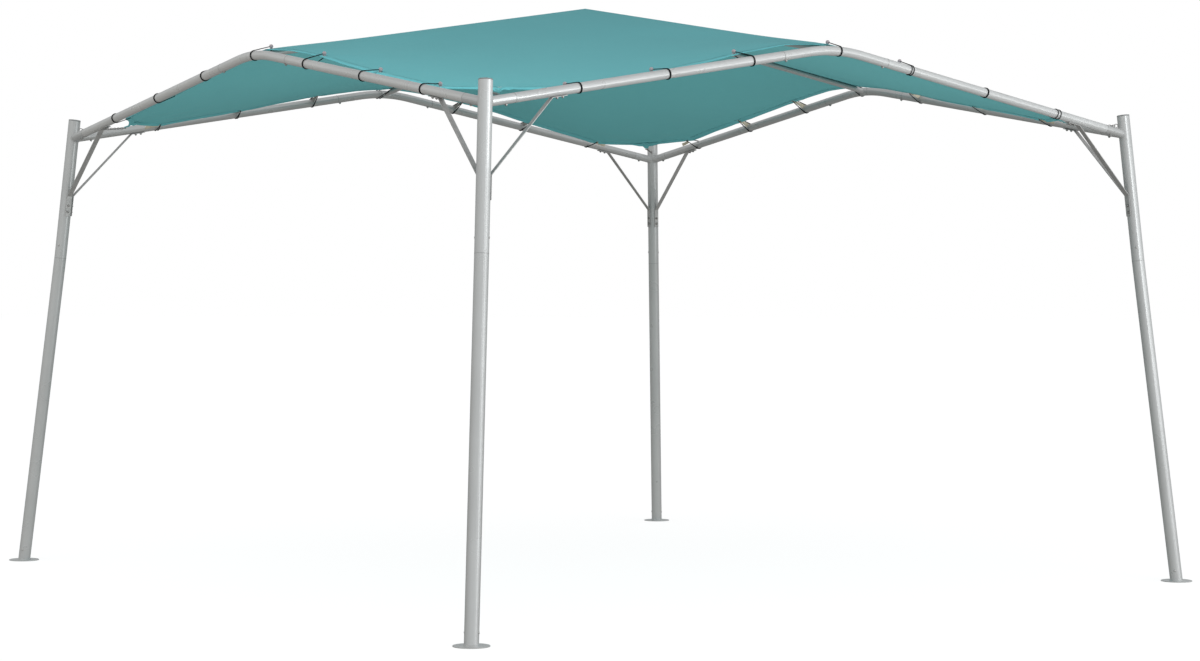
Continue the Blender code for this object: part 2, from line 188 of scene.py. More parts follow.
# %% Lamps
COOL, MILD, WARM, WHITE = (0.95, 0.98, 1.0), (1.0, 0.97, 0.90), (1.0, 0.96, 0.88), (1.0, 1.0, 1.0)
LAMPS = (
    ("strip_lamp", (9.4, 1.1, 3.2), (0, 0, 1.6), (1.9, 3.8), 100.0, COOL),
    ("right_panel", (8.5, 4.5, 1.6), (0, 0, 1.6), (6.0, 3.2), 105.0, COOL),
    ("left_lamp", (-1.5, -7.5, 6.0), (0, -1.5, 2.0), (4.5, 4.0), 70.0, MILD),
    ("over_cloth_lamp", (2.6, -3.4, 4.4), (0.9, -1.0, 2.3), (2.0, 2.0), 82.0, WHITE),
    ("cloth_glow_lamp", (1.0, -0.4, 0.4), (1.0, -0.4, 2.4), (5.0, 5.0), 96.0, WHITE),
    ("right_beam_lamp", (5.6, 0.0, 1.1), (1.8, 0.0, 2.2), (2.8, 0.9), 56.0, COOL),
    ("front_beam_lamp", (0.4, -5.6, 1.0), (0.0, -1.8, 2.2), (2.8, 0.9), 34.0, WARM),
    ("corner_lamp", (2.4, -1.45, 2.15), (1.8, -1.72, 2.08), (0.4, 0.4), 1.5, COOL),
)


def add_lamp(name, place, aim, size, power, colour):
    """A rectangular area lamp at a place that faces a point."""
    lamp = add_object(name, bpy.data.lights.new(name, "AREA"))
    lamp.data.shape = "RECTANGLE"
    lamp.data.size, lamp.data.size_y = size
    lamp.data.energy, lamp.data.color = power, colour
    lamp.location = place
    lamp.rotation_euler = (Vector(aim) - Vector(place)).to_track_quat("-Z", "Y").to_euler()
    lamp.visible_camera = False
    print(name, "power:", power)
    return lamp


lamps = {row[0]: add_lamp(*row) for row in LAMPS}

# %% Which lamps light what
def link_lamps(name, lamp_names, items, state="INCLUDE"):
    """Let some lamps light only a group of items, or everything but the group."""
    group = bpy.data.collections.new(name)
    for item in items:
        group.objects.link(item)
    for entry in group.collection_objects:
        entry.light_linking.link_state = state
    for lamp_name in lamp_names:
        lamps[lamp_name].light_linking.receiver_collection = group
    return group


def beam_nodes(*sides):
    """The beams of some sides."""
    starts = tuple(f"{kind}_{side}" for side in sides for kind in ("side_beam", "beam_bend"))
    return [nodes[name] for name in nodes if name.startswith(starts)]


cloth_group = link_lamps("lit_by_the_cloth_lamps", ("over_cloth_lamp", "cloth_glow_lamp"), [])
link_lamps("lit_corner_post", ("corner_lamp",), [nodes["upper_post_front_right"]])
link_lamps("shaded_far_beams", ("strip_lamp", "right_panel"), beam_nodes("left", "back"), "EXCLUDE")
for side in ("right", "front"):
    link_lamps(f"lit_{side}_beam", (f"{side}_beam_lamp",), beam_nodes(side))
print("far beams left out:", len(beam_nodes("left", "back")))

# %% [markdown]
# ## Powder coat
# The tubes are steel with a silver powder coat: satin, a little metallic, with the faint orange peel
# that melted powder leaves. A flat grey would look like plastic, so noise in object space moves the
# tone and the gloss by a few per cent, and a very fine noise feeds a bump for the orange peel. Object
# coordinates work here because every node's object sits at the origin.

# %% Surface helpers
NOISE_SPAN = (0.3, 0.7)


def noise_value(tree, place, scale, detail=2.0):
    """Socket with a noise of a scale in cells per metre."""
    inputs = {"Vector": place, "Scale": scale, "Detail": detail}
    return add_node(tree, "ShaderNodeTexNoise", inputs).outputs[0]


def vary_colour(tree, shader, value, dark, light):
    """Let a noise move the base colour between two tones."""
    ramp = add_node(tree, "ShaderNodeValToRGB", {"Fac": value})
    for element, position, colour in zip(ramp.color_ramp.elements, NOISE_SPAN, (dark, light)):
        element.position, element.color = position, (*colour, 1)
    tree.links.new(ramp.outputs["Color"], shader.inputs["Base Color"])


def vary_roughness(tree, shader, value, low, high):
    """Let a noise move the roughness between two values."""
    spread = add_node(tree, "ShaderNodeMapRange", {
        "Value": value, "From Min": NOISE_SPAN[0], "From Max": NOISE_SPAN[1],
        "To Min": low, "To Max": high})
    tree.links.new(spread.outputs["Result"], shader.inputs["Roughness"])


def add_bump(tree, shader, height, depth, strength=0.5):
    """Bend the surface's normals by a height, with its depth in metres."""
    bump = add_node(tree, "ShaderNodeBump", {"Height": height, "Distance": depth, "Strength": strength})
    tree.links.new(bump.outputs["Normal"], shader.inputs["Normal"])

# %% Mottled finish
def scale_tone(colour, factor):
    """A colour made darker or lighter."""
    return tuple(min(channel * factor, 1.0) for channel in colour)


def mottled_material(name, colour, spread, cells, roughness, grain, depth, **options):
    """A finish whose tone drifts by a spread over cells, with a fine grain of bumps."""
    material, tree, shader = new_material(name, roughness[0], **options)
    place = add_node(tree, "ShaderNodeTexCoord").outputs["Object"]
    cloud = noise_value(tree, place, cells, 3.0)
    vary_colour(tree, shader, cloud, scale_tone(colour, 1 - spread), scale_tone(colour, 1 + spread))
    vary_roughness(tree, shader, noise_value(tree, place, cells * 2.3), *roughness)
    add_bump(tree, shader, noise_value(tree, place, grain), depth)
    return material

# %% Metal and plastic finishes
# Each row: colour, drift of its tone, cells per metre, roughness, grain per metre, depth, shader sockets.
FINISHES = {
    "silver_powder_coat": ((0.50, 0.505, 0.50), 0.04, 4.0, (0.26, 0.34), 500.0, 0.00002,
                           {"metallic": 0.25, "coat_weight": 0.35, "coat_roughness": 0.14}),
    "bright_zinc": ((0.50, 0.495, 0.48), 0.08, 60.0, (0.22, 0.38), 1200.0, 0.00001, {"metallic": 0.8}),
    "satin_zinc": ((0.42, 0.415, 0.405), 0.10, 40.0, (0.36, 0.50), 1200.0, 0.00001, {"metallic": 0.45}),
    "bolt_steel": ((0.33, 0.325, 0.315), 0.10, 120.0, (0.24, 0.40), 1200.0, 0.00001, {"metallic": 0.85}),
    "cap_plastic": ((0.26, 0.27, 0.27), 0.06, 30.0, (0.42, 0.55), 900.0, 0.00002, {}),
    "weld_bead": ((0.50, 0.505, 0.50), 0.12, 160.0, (0.30, 0.45), 500.0, 0.00005, {"metallic": 0.35}),
    # The dark grey joint ring finish paints the shadow in the gap at each tube joint.
    "joint_shadow_ring": ((0.14, 0.14, 0.14), 0.20, 200.0, (0.5, 0.7), 800.0, 0.00002, {}),
    "loop_ball": ((0.42, 0.36, 0.38), 0.08, 80.0, (0.30, 0.42), 600.0, 0.00002, {}),
    "black_elastic": ((0.010, 0.012, 0.013), 0.45, 700.0, (0.62, 0.80), 1500.0, 0.0004, {}),
    "cream_tape": ((0.60, 0.55, 0.43), 0.10, 120.0, (0.80, 0.92), 900.0, 0.0004, {}),
    # The grey tape finish is a dark copy of the cream tape, painted shade for the gores on the left.
    "cream_tape_painted_shade": ((0.20, 0.205, 0.19), 0.10, 120.0, (0.80, 0.92), 900.0, 0.0004, {}),
}
DULL_FINISHES = ("black_elastic", "cream_tape", "cream_tape_painted_shade")
DULL_SHINE = 0.12

finishes = {name: mottled_material(name, *row[:6], **row[6]) for name, row in FINISHES.items()}
for name in DULL_FINISHES:
    shader = finishes[name].node_tree.nodes["Principled BSDF"]
    shader.inputs["Specular IOR Level"].default_value = DULL_SHINE
print("plain finishes:", len(finishes))

# %% Finish the nodes of the frame
def paint_node(name, material):
    """Give a node of the frame its finish; its mesh stays as it is."""
    slots = nodes[name].material_slots
    if not slots:
        nodes[name].data.materials.append(material)
    for slot in slots:
        slot.material = material


for name in nodes:
    finish = "satin_zinc" if name.startswith("brace") else "silver_powder_coat"
    paint_node(name, finishes["cap_plastic" if name.startswith("post_cap") else finish])
print("nodes painted:", len(nodes))

# %% [markdown]
# ## Measure the frame
# Every added piece sits on a tube, so the tubes are measured once. A tube's end is a ring of points,
# and the middle of that ring lies on its axis. From the beam's two ends and its top the rounded bend
# can be worked out, and then one function gives the beam's height anywhere along it.

# %% Tube ends
END_REACH = 0.012


def end_centre(name, axis, at_high_end):
    """Middle of the ring of points at one end of a node, along axis 0, 1 or 2."""
    points = np.array([v.co for v in nodes[name].data.vertices], float)
    points = np.unique(points.round(5), axis=0)
    edge = points[:, axis].max() if at_high_end else points[:, axis].min()
    return Vector(points[np.abs(points[:, axis] - edge) < END_REACH].mean(0))


bend_low, bend_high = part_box("beam_bend_front")
BEAM_OFFSET = -(bend_low.y + bend_high.y) / 2
BEAM_RADIUS = (bend_high.y - bend_low.y) / 2
BEAM_PEAK = bend_high.z - BEAM_RADIUS
BEND_END = bend_high.x
beam_inner = end_centre("side_beam_front_end_1", 0, False)
beam_outer = end_centre("side_beam_front_end_1", 0, True)
BEAM_SLOPE = math.atan2(beam_inner.z - beam_outer.z, beam_outer.x - beam_inner.x)
drop_to_end = BEAM_PEAK - beam_inner.z - beam_inner.x * math.tan(BEAM_SLOPE)
BEND_RADIUS = drop_to_end / (1 - 1 / math.cos(BEAM_SLOPE))
print("beam slope:", round(math.degrees(BEAM_SLOPE), 2), "degrees; bend radius:", round(BEND_RADIUS, 3))

# %% Beam and post lines
FRONT_TO_SIDE = [Matrix.Rotation(turn * math.pi / 2, 3, "Z") for turn in range(4)]
INWARD = Vector((0, 1, 0))

post_foot = end_centre("lower_post_front_right", 2, False)
post_seam = end_centre("lower_post_front_right", 2, True)
post_head = end_centre("upper_post_front_right", 2, True)
PLATE_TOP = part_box("foot_plate_front_right")[1].z
cap_low, cap_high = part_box("post_cap_front_right")
POST_RADIUS = (cap_high.x - cap_low.x) / 2
LOWER_POST = (post_seam - post_foot).normalized()
UPPER_POST = (post_head - post_seam).normalized()


def beam_point(along):
    """Point on the front beam's axis, a signed distance from the middle of the side."""
    far = abs(along)
    tangent = BEND_RADIUS * math.sin(BEAM_SLOPE)
    if far < tangent:
        fall = BEND_RADIUS - math.sqrt(BEND_RADIUS**2 - far**2)
    else:
        fall = BEND_RADIUS * (1 - math.cos(BEAM_SLOPE)) + (far - tangent) * math.tan(BEAM_SLOPE)
    return Vector((along, -BEAM_OFFSET, BEAM_PEAK - fall))


def beam_frame(along):
    """Directions along and squarely above the front beam at a distance from its middle."""
    slope = math.asin(max(-1.0, min(1.0, along / BEND_RADIUS)))
    slope = max(-BEAM_SLOPE, min(BEAM_SLOPE, slope))
    return Vector((math.cos(slope), 0, -math.sin(slope))), Vector((math.sin(slope), 0, math.cos(slope)))


def post_point(height):
    """Point on the front right post's axis at a height."""
    start, line = (post_foot, LOWER_POST) if height < post_seam.z else (post_seam, UPPER_POST)
    return start + line * ((height - start.z) / line.z)


print("post radius:", round(POST_RADIUS, 4), "beam radius:", round(BEAM_RADIUS, 4))

# %% [markdown]
# ## The roof cloth
# One square sheet is pulled tight over two crossed ridges, so it hangs as four nearly flat quarters
# that fall from the hub to the corners. Cloth simulation could find this shape, but a sheet under
# tension is ruled by where it is held, and a formula keeps every crease where the ridge tubes are. The
# height of the sheet is therefore a function of its place in plan: a flat quarter, a little sag in its
# middle, an edge that bows up between the eyelets, and fine folds that fan out from every eyelet.

# %% Outline of the sheet
canopy = np.array([v.co for v in nodes["roof_canopy"].data.vertices], float)
SHEET_FULL = canopy[:, 0].max()
TIP_TRIM = 0.015
SHEET_TIP = (canopy[:, 0] + canopy[:, 1]).max() / 2 - TIP_TRIM
SHEET_APEX = canopy[np.hypot(canopy[:, 0], canopy[:, 1]) < 0.001, 2].min()
on_ridge = canopy[(np.abs(canopy[:, 1]) < 0.001) & (canopy[:, 0] > SHEET_FULL - 0.001), 2].min()
SHEET_FALL = (SHEET_APEX - on_ridge) / SHEET_FULL
CLOTH_THICKNESS = 0.0012
CLOTH_CLEARANCE = 0.0004
EYELET_SPACING = 0.4515
EYELETS_PER_HALF = 3
EYELET_INSET = 0.023
TIP_EYELET_INSET = 0.02
EDGE_SCALLOP = 0.005
CORNER_SCALLOP = 0.012
EYELET_SHIFTS = ((4, 4, 4, 4, 4, 4, 4), (-4, -21, -38, 28, -4, -4, -4),
                 (26, 26, 26, 26, 26, 26, 26), (9, 9, 9, 9, 9, 9, 9))
LAST_EYELET = EYELETS_PER_HALF * EYELET_SPACING


def half_width(along):
    """Distance from the middle to the sheet's edge at distances along that edge, as arrays."""
    along = np.abs(along)
    cell = (along / EYELET_SPACING) % 1.0
    side = SHEET_FULL - EDGE_SCALLOP * 4 * cell * (1 - cell)
    end = (along - LAST_EYELET) / (SHEET_TIP - LAST_EYELET)
    corner = SHEET_FULL - CORNER_SCALLOP * 4 * end * (1 - end) - (SHEET_FULL - SHEET_TIP) * end
    return np.where(along <= LAST_EYELET, side, corner)


print("sheet half width:", round(SHEET_FULL, 3), "tip:", round(SHEET_TIP, 3),
      "fall:", round(SHEET_FALL, 4))

# %% Places of the eyelets
def eyelet_along(turn, index):
    """Distance of an eyelet from the middle of its side; the table of shifts is in millimetres."""
    return index * EYELET_SPACING + EYELET_SHIFTS[turn][index + EYELETS_PER_HALF] / 1000


def eyelet_place(turn, along):
    """Place in plan on a side's line of eyelets."""
    return FRONT_TO_SIDE[turn] @ Vector((along, -(SHEET_FULL - EYELET_INSET), 0))


eyelet_plan = [(turn, index, eyelet_place(turn, eyelet_along(turn, index)))
               for turn in range(4) for index in range(-EYELETS_PER_HALF, EYELETS_PER_HALF + 1)]
tip_plan = [FRONT_TO_SIDE[turn] @ Vector((1, -1, 0)) * (SHEET_TIP - TIP_EYELET_INSET)
            for turn in range(4)]
print("eyelets:", len(eyelet_plan) + len(tip_plan))

# %% Rise of the edges
EDGE_LIFTS = ((0, -6, -2, 1, 6, 18, 20, 6, 23, 24, 10, 2, -2, -6, 0),
              (0, -9, -6, -3, 8, 24, 30, 9, 20, 21, 7, 1, -2, -6, 0),
              (0, -6, -2, 1, 4, 12, 12, 2, 23, 26, 22, 21, 17, 9, 0),
              (0, -6, 0, 9, 21, 23, 18, 3, 18, 21, 15, 5, 0, -6, 0))
EDGE_CURLS = (0.0, 0.0, 0.0055, 0.0075, 0.0075)
EDGE_CURL_WIDTH = 0.014
EDGE_LIFT_REACH = 0.30


def smooth_step(value):
    """Ease from 0 to 1 as a value goes from 0 to 1."""
    value = np.clip(value, 0.0, 1.0)
    return value * value * (3 - 2 * value)


HALF_CELLS = range(-2 * EYELETS_PER_HALF, 2 * EYELETS_PER_HALF + 1)
LIFT_KNOTS = [-SHEET_TIP] + [k * EYELET_SPACING / 2 for k in HALF_CELLS] + [SHEET_TIP]
CURL_KNOTS = [k * EYELET_SPACING for k in range(EYELETS_PER_HALF + 1)] + [SHEET_TIP]


def smooth_interp(value, knots, heights):
    """Interpolate a table with eased steps, so that no knot shows as a kink."""
    number = np.clip(np.searchsorted(knots, value) - 1, 0, len(knots) - 2)
    low, high = np.array(knots)[number], np.array(knots)[number + 1]
    share = np.clip((value - low) / (high - low), 0, 1)
    eased = 0.5 * share + 0.5 * smooth_step(share)
    heights = np.array(heights, float)
    return heights[number] * (1 - eased) + heights[number + 1] * eased


def edge_lift(turn, along, out):
    """Rise of the cloth near one side, at signed distances along it and out from the middle."""
    inward = half_width(along) - out
    lift = smooth_interp(along, LIFT_KNOTS, EDGE_LIFTS[turn]) / 1000
    lift = lift * np.exp(-(np.maximum(inward, 0) / EDGE_LIFT_REACH) ** 2)
    curl = np.interp(np.abs(along), CURL_KNOTS, EDGE_CURLS)
    curl = curl * (1 - np.clip(inward / EDGE_CURL_WIDTH, 0, 1)) ** 2
    return np.where(out > 0, lift - curl, 0.0)


print("knots on a side:", len(LIFT_KNOTS), "highest lift:", max(map(max, EDGE_LIFTS)), "mm")

# %% Height of the sheet
QUARTER_SAG = 0.012
RIDGE_BAND = 0.25
# Each fan: size of its folds, their reach, their number, and the turn from one held point to the next.
EYELET_FAN = (0.0022, 0.11, 9, 1.7)
TIP_FAN = (0.0045, 0.22, 10, 2.3)
FAN_CORE = 0.03
RIDGE_SHARE = 0.35
DRIFT = 0.0022
DRIFT_CELLS = 2.1


def fan_of_folds(x, y, centre, number, size, reach, count, turn):
    """Folds that radiate from a held point and die away with distance."""
    dx, dy = x - centre.x, y - centre.y
    distance = np.hypot(dx, dy)
    wave = np.cos(count * np.arctan2(dy, dx) + number * turn)
    return size * wave * (distance / (distance + FAN_CORE)) * np.exp(-distance / reach)


def sheet_height(x, y):
    """Height of the middle of the cloth over places in plan, as arrays."""
    x, y = np.asarray(x, float), np.asarray(y, float)
    height = SHEET_APEX - SHEET_FALL * (np.abs(x) + np.abs(y)) + CLOTH_CLEARANCE + CLOTH_THICKNESS / 2
    off_ridge = smooth_step(np.minimum(np.abs(x), np.abs(y)) / RIDGE_BAND)
    u, v = np.abs(x) / SHEET_FULL, np.abs(y) / SHEET_FULL
    height -= QUARTER_SAG * 16 * u * (1 - u) * v * (1 - v) * off_ridge
    for turn, (along, out) in enumerate(((x, -y), (y, x), (-x, y), (-y, -x))):
        height += edge_lift(turn, along, out)
    for number, (_, _, place) in enumerate(eyelet_plan):
        folds = fan_of_folds(x, y, place, number, *EYELET_FAN)
        height += folds * (RIDGE_SHARE + (1 - RIDGE_SHARE) * off_ridge)
    for number, place in enumerate(tip_plan):
        height += fan_of_folds(x, y, place, number, *TIP_FAN)
    drift = np.array([noise.noise(Vector((a * DRIFT_CELLS, b * DRIFT_CELLS, 5.0)))
                      for a, b in zip(x.ravel(), y.ravel())])
    return height + DRIFT * drift.reshape(x.shape) * off_ridge


print("height over the hub:", round(float(sheet_height([0.0], [0.0])[0]), 4))

# %% [markdown]
# The sheet is a grid of quads. Its rows are evenly spaced except near the ridges, where a few extra
# rows keep the crease over each tube crisp. Solidify then gives the cloth its thickness, and the faces
# that look down take a second material, a darker copy of the teal that paints the shade under the roof.

# %% Grid of the sheet
GRID_STEPS = 82
CREASE_SHARES = (0.0, 0.0018, 0.005)
CURL_ROWS = (0.014, 0.009, 0.0045, 0.0)


def sheet_shares():
    """Shares of the half width at which the grid has a row."""
    even = [step / GRID_STEPS for step in range(1, GRID_STEPS + 1)]
    half = list(CREASE_SHARES) + [share for share in even if share > CREASE_SHARES[-1] * 1.6]
    half[-1:] = [1.0 - inset / SHEET_FULL for inset in CURL_ROWS]
    return np.array([-share for share in reversed(half[1:])] + half)


def sheet_plan(a, b):
    """Place in plan of the shares a and b of the two half widths."""
    return a * half_width(np.abs(b) * SHEET_TIP), b * half_width(np.abs(a) * SHEET_TIP)


def grid_mesh(name, points, uvs):
    """Mesh of quads from a grid of points, with a UV map in metres."""
    rows, columns = points.shape[:2]
    number = np.arange(rows * columns).reshape(rows, columns)
    corners = [number[:-1, :-1], number[1:, :-1], number[1:, 1:], number[:-1, 1:]]
    quads = np.stack(corners, -1).reshape(-1, 4)
    mesh = bpy.data.meshes.new(name)
    mesh.from_pydata(points.reshape(-1, 3).tolist(), [], quads.tolist())
    layer = mesh.uv_layers.new(name="weave")
    layer.data.foreach_set("uv", uvs.reshape(-1, 2)[quads.ravel()].astype(np.float32).ravel())
    mesh.shade_smooth()
    return mesh

# %% Lay the sheet
shares = sheet_shares()
share_a, share_b = np.meshgrid(shares, shares, indexing="ij")
plan_x, plan_y = sheet_plan(share_a, share_b)
sheet_points = np.stack([plan_x, plan_y, sheet_height(plan_x, plan_y)], -1)
SLOPE_STRETCH = math.hypot(1.0, SHEET_FALL)
sheet_mesh = grid_mesh("roof_cloth", sheet_points, np.stack([plan_x, plan_y], -1) * SLOPE_STRETCH)

# %% [markdown]
# ## Woven polyester
# Canopy cloth is a plain weave of fine threads with a soft sheen. Two sets of waves along the UV map,
# which is in metres, stand for warp and weft and feed a shallow bump. Long thin noise along each
# thread direction gives the uneven threads that show in real cloth, and a broad noise drifts the dye.

# %% Woven cloth material
THREADS_PER_METRE = 520.0
WAVE_CYCLES_PER_UNIT = 20.0 / math.tau
WEAVE_DEPTH = 0.00012


def woven_material(name, colour, spread, roughness, sheen):
    """Plain weave over a UV map in metres."""
    material, tree, shader = new_material(name, roughness, sheen_weight=sheen, sheen_roughness=0.45)
    shader.inputs["Specular IOR Level"].default_value = 0.08
    place = add_node(tree, "ShaderNodeUVMap", uv_map="weave").outputs["UV"]
    heights, streaks = [], []
    for direction, cells in (("X", (7.0, 260.0, 1.0)), ("Y", (260.0, 7.0, 1.0))):
        pitch = THREADS_PER_METRE / WAVE_CYCLES_PER_UNIT
        threads = add_node(tree, "ShaderNodeTexWave", {"Vector": place, "Scale": pitch},
                           bands_direction=direction)
        heights.append(threads.outputs["Fac"])
        long_place = add_node(tree, "ShaderNodeMapping", {"Vector": place, "Scale": cells})
        streaks.append(noise_value(tree, long_place.outputs["Vector"], 1.0))
    weave = maths(tree, "ADD", *heights)
    tone = maths(tree, "ADD", maths(tree, "ADD", *streaks), noise_value(tree, place, 1.6, 3.0))
    dark, light = scale_tone(colour, 1 - spread), scale_tone(colour, 1 + spread)
    vary_colour(tree, shader, maths(tree, "MULTIPLY", tone, 1 / 3), dark, light)
    add_bump(tree, shader, weave, WEAVE_DEPTH, 0.6)
    return material

# %% Cloth colours
CLOTH_TOP_COLOUR = (0.084, 0.285, 0.306)
# The underside colour is the top teal made darker: painted shade for the cloth under the roof.
CLOTH_UNDER_SHADE_COLOUR = (0.074, 0.256, 0.266)
# The hem colour is a darker copy of the teal, painted shade; the fold colour a lighter one, a painted
# highlight.
HEM_SHADE_COLOUR = (0.070, 0.245, 0.258)
FOLD_HIGHLIGHT_COLOUR = (0.094, 0.330, 0.358)
cloth_top = woven_material("teal_cloth_top", CLOTH_TOP_COLOUR, 0.06, 0.85, 0.03)
cloth_under_shaded = woven_material("teal_cloth_under_painted_shade", CLOTH_UNDER_SHADE_COLOUR, 0.06, 0.88, 0.03)
cloth_hem_shaded = woven_material("teal_cloth_hem_painted_shade", HEM_SHADE_COLOUR, 0.08, 0.85, 0.03)
cloth_fold_highlight = woven_material("teal_cloth_fold_highlight", FOLD_HIGHLIGHT_COLOUR, 0.08, 0.85, 0.03)
print("threads in a metre of cloth:", int(THREADS_PER_METRE))

# %% Finish the roof cloth
def plain_copy(item, name):
    """Mesh object with all modifiers of an object applied, at the origin; the object goes away."""
    graph = bpy.context.evaluated_depsgraph_get()
    mesh = bpy.data.meshes.new_from_object(item.evaluated_get(graph))
    mesh.name = name
    bpy.data.objects.remove(item)
    return add_object(name, mesh)


def count_triangles(mesh):
    """Number of triangles that a mesh makes."""
    return sum(len(face.vertices) - 2 for face in mesh.polygons)


def finish_piece(piece):
    """Let a piece ride on the frame and print its weight."""
    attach(piece, "root")
    print(piece.name, "triangles:", count_triangles(piece.data))
    return piece


roof_draft = add_object("roof_draft", sheet_mesh)
sheet_mesh.materials.append(cloth_top)
sheet_mesh.materials.append(cloth_under_shaded)
thicken = roof_draft.modifiers.new("thickness", "SOLIDIFY")
thicken.thickness = CLOTH_THICKNESS
thicken.offset = 0.0
roof_cloth = plain_copy(roof_draft, "roof_cloth")
# Faces that look down take the darker underside copy, painted shade.
for face in roof_cloth.data.polygons:
    face.material_index = 0 if face.normal.z > 0.3 else 1
cloth_group.objects.link(roof_cloth)
finish_piece(roof_cloth)
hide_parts("roof_canopy")

# %% [markdown]
# ## The hem
# The edge of the sheet is folded under and sewn down, so it is a band about 34 mm wide of double
# cloth with a full, round fold at its very edge. A loft fits this best: the outline of the folded band
# is drawn once as a small cross-section, and copies of it are set along the edge and joined. Its faces
# that look up take a lighter copy of the teal, a painted highlight where the taut fold catches the
# light, and the others a darker copy, painted shade.

# %% Section of the hem
HEM_WIDTH = 0.034
HEM_LAYER = 0.0015
HEM_SAMPLES = 180
half_cloth = CLOTH_THICKNESS / 2
HEM_SECTION = (
    (HEM_WIDTH, -half_cloth + 0.0002),
    (HEM_WIDTH, -half_cloth - HEM_LAYER * 0.8),
    (0.0060, -half_cloth - HEM_LAYER),
    (0.0015, -half_cloth - HEM_LAYER),
    (-0.0022, -half_cloth - HEM_LAYER * 0.5),
    (-0.0034, 0.0),
    (-0.0022, half_cloth + HEM_LAYER * 0.6),
    (0.0015, half_cloth + HEM_LAYER),
    (0.0095, half_cloth + HEM_LAYER * 0.7),
    (0.0130, half_cloth - 0.0002),
)

# %% Rows and lofts
def edge_rows(turn, insets, samples):
    """Points on the cloth along one side, a row for each distance in from the edge."""
    share = np.linspace(-1.0, 1.0, samples)
    rows = []
    for inset in insets:
        a = 1.0 - inset / SHEET_FULL
        along, out = sheet_plan(share * min(a, 1.0), np.full(samples, a))
        place = np.array(FRONT_TO_SIDE[turn]) @ np.stack([along, -out, np.zeros(samples)])
        rows.append(np.stack([place[0], place[1], sheet_height(place[0], place[1])], -1))
    return np.array(rows)


def add_loft(points, faces, rings):
    """Append closed rings joined by quads, with both ends capped."""
    start = len(points)
    count = rings.shape[1]
    points.extend(rings.reshape(-1, 3).tolist())
    for ring in range(len(rings) - 1):
        for i in range(count):
            j = (i + 1) % count
            near, far = start + ring * count, start + (ring + 1) * count
            faces.append((near + i, near + j, far + j, far + i))
    faces.append(tuple(start + i for i in reversed(range(count))))
    faces.append(tuple(start + (len(rings) - 1) * count + i for i in range(count)))

# %% Mesh helpers
def outward(mesh):
    """Merge doubles and turn every face of closed bodies outwards."""
    bm = bmesh.new()
    bm.from_mesh(mesh)
    bmesh.ops.remove_doubles(bm, verts=bm.verts, dist=0.00001)
    bmesh.ops.recalc_face_normals(bm, faces=bm.faces)
    bm.to_mesh(mesh)
    bm.free()
    return mesh


def mesh_object(name, points, faces, material, smooth_angle=40.0):
    """Object with one material from plain lists of points and faces."""
    mesh = bpy.data.meshes.new(name)
    mesh.from_pydata(points, [], faces)
    outward(mesh)
    mesh.materials.append(material)
    mesh.shade_smooth()
    mesh.set_sharp_from_angle(angle=math.radians(smooth_angle))
    return add_object(name, mesh)


def lay_weave(mesh, scale):
    """UV map in metres from the places in plan, for the woven cloth."""
    layer = mesh.uv_layers.new(name="weave")
    for loop in mesh.loops:
        co = mesh.vertices[loop.vertex_index].co
        layer.data[loop.index].uv = (co.x * scale, co.y * scale)

# %% Hem band
hem_points, hem_faces = [], []
for turn in range(4):
    rows = edge_rows(turn, [inset for inset, _ in HEM_SECTION], HEM_SAMPLES)
    rows[:, :, 2] += np.array([rise for _, rise in HEM_SECTION])[:, None]
    add_loft(hem_points, hem_faces, rows.transpose(1, 0, 2))
hem = mesh_object("roof_hem", hem_points, hem_faces, cloth_hem_shaded, 60.0)
hem.data.materials.append(cloth_fold_highlight)
# Faces of the hem that look up take the painted highlight copy, the others the painted shade copy.
for face in hem.data.polygons:
    face.material_index = 1 if face.normal.z > 0.15 else 0
lay_weave(hem.data, SLOPE_STRETCH)
cloth_group.objects.link(hem)
finish_piece(hem)

# %% [markdown]
# ## Running Geometry Nodes
# Small parts that repeat are made by Geometry Nodes. Python only says where they go: a mesh with one
# point for each part, and two directions on every point, aim for its axis and side for its turn about
# that axis. The tree makes the part from named sizes and sets a copy on each point. The result is
# taken as a plain mesh, because instances would be lost when the model is exported.

# %% Tree helpers
def geo(tree, kind, inputs=None, **options):
    """First output of a new Geometry Nodes node."""
    return add_node(tree, f"GeometryNode{kind}", inputs, **options).outputs[0]


def new_tree(name, sizes):
    """Geometry tree with named number inputs; returns the tree and its input sockets by name."""
    tree = bpy.data.node_groups.new(name, "GeometryNodeTree")
    add_socket = tree.interface.new_socket
    add_socket(name="Geometry", in_out="INPUT", socket_type="NodeSocketGeometry")
    for size, value in sizes.items():
        kind = "NodeSocketInt" if isinstance(value, int) else "NodeSocketFloat"
        add_socket(name=size, in_out="INPUT", socket_type=kind).default_value = value
    add_socket(name="Geometry", in_out="OUTPUT", socket_type="NodeSocketGeometry")
    return tree, add_node(tree, "NodeGroupInput").outputs


def finish_tree(tree, geometry, material):
    """End a tree in Realize Instances, Set Shade Smooth and Set Material."""
    smooth = geo(tree, "SetShadeSmooth", {0: geo(tree, "RealizeInstances", {0: geometry})})
    add_node(tree, "NodeGroupOutput", {0: geo(tree, "SetMaterial", {0: smooth, "Material": material})})
    return tree

# %% Node shorthands
def vector_node(tree, x=0.0, y=0.0, z=0.0):
    """Socket with a vector from three numbers or sockets."""
    return add_node(tree, "ShaderNodeCombineXYZ", {"X": x, "Y": y, "Z": z}).outputs[0]


def moved(tree, geometry, offset=(0, 0, 0), scale=(1, 1, 1)):
    """Socket with a geometry scaled and then moved."""
    return geo(tree, "Transform", {0: geometry, "Translation": offset, "Scale": scale})


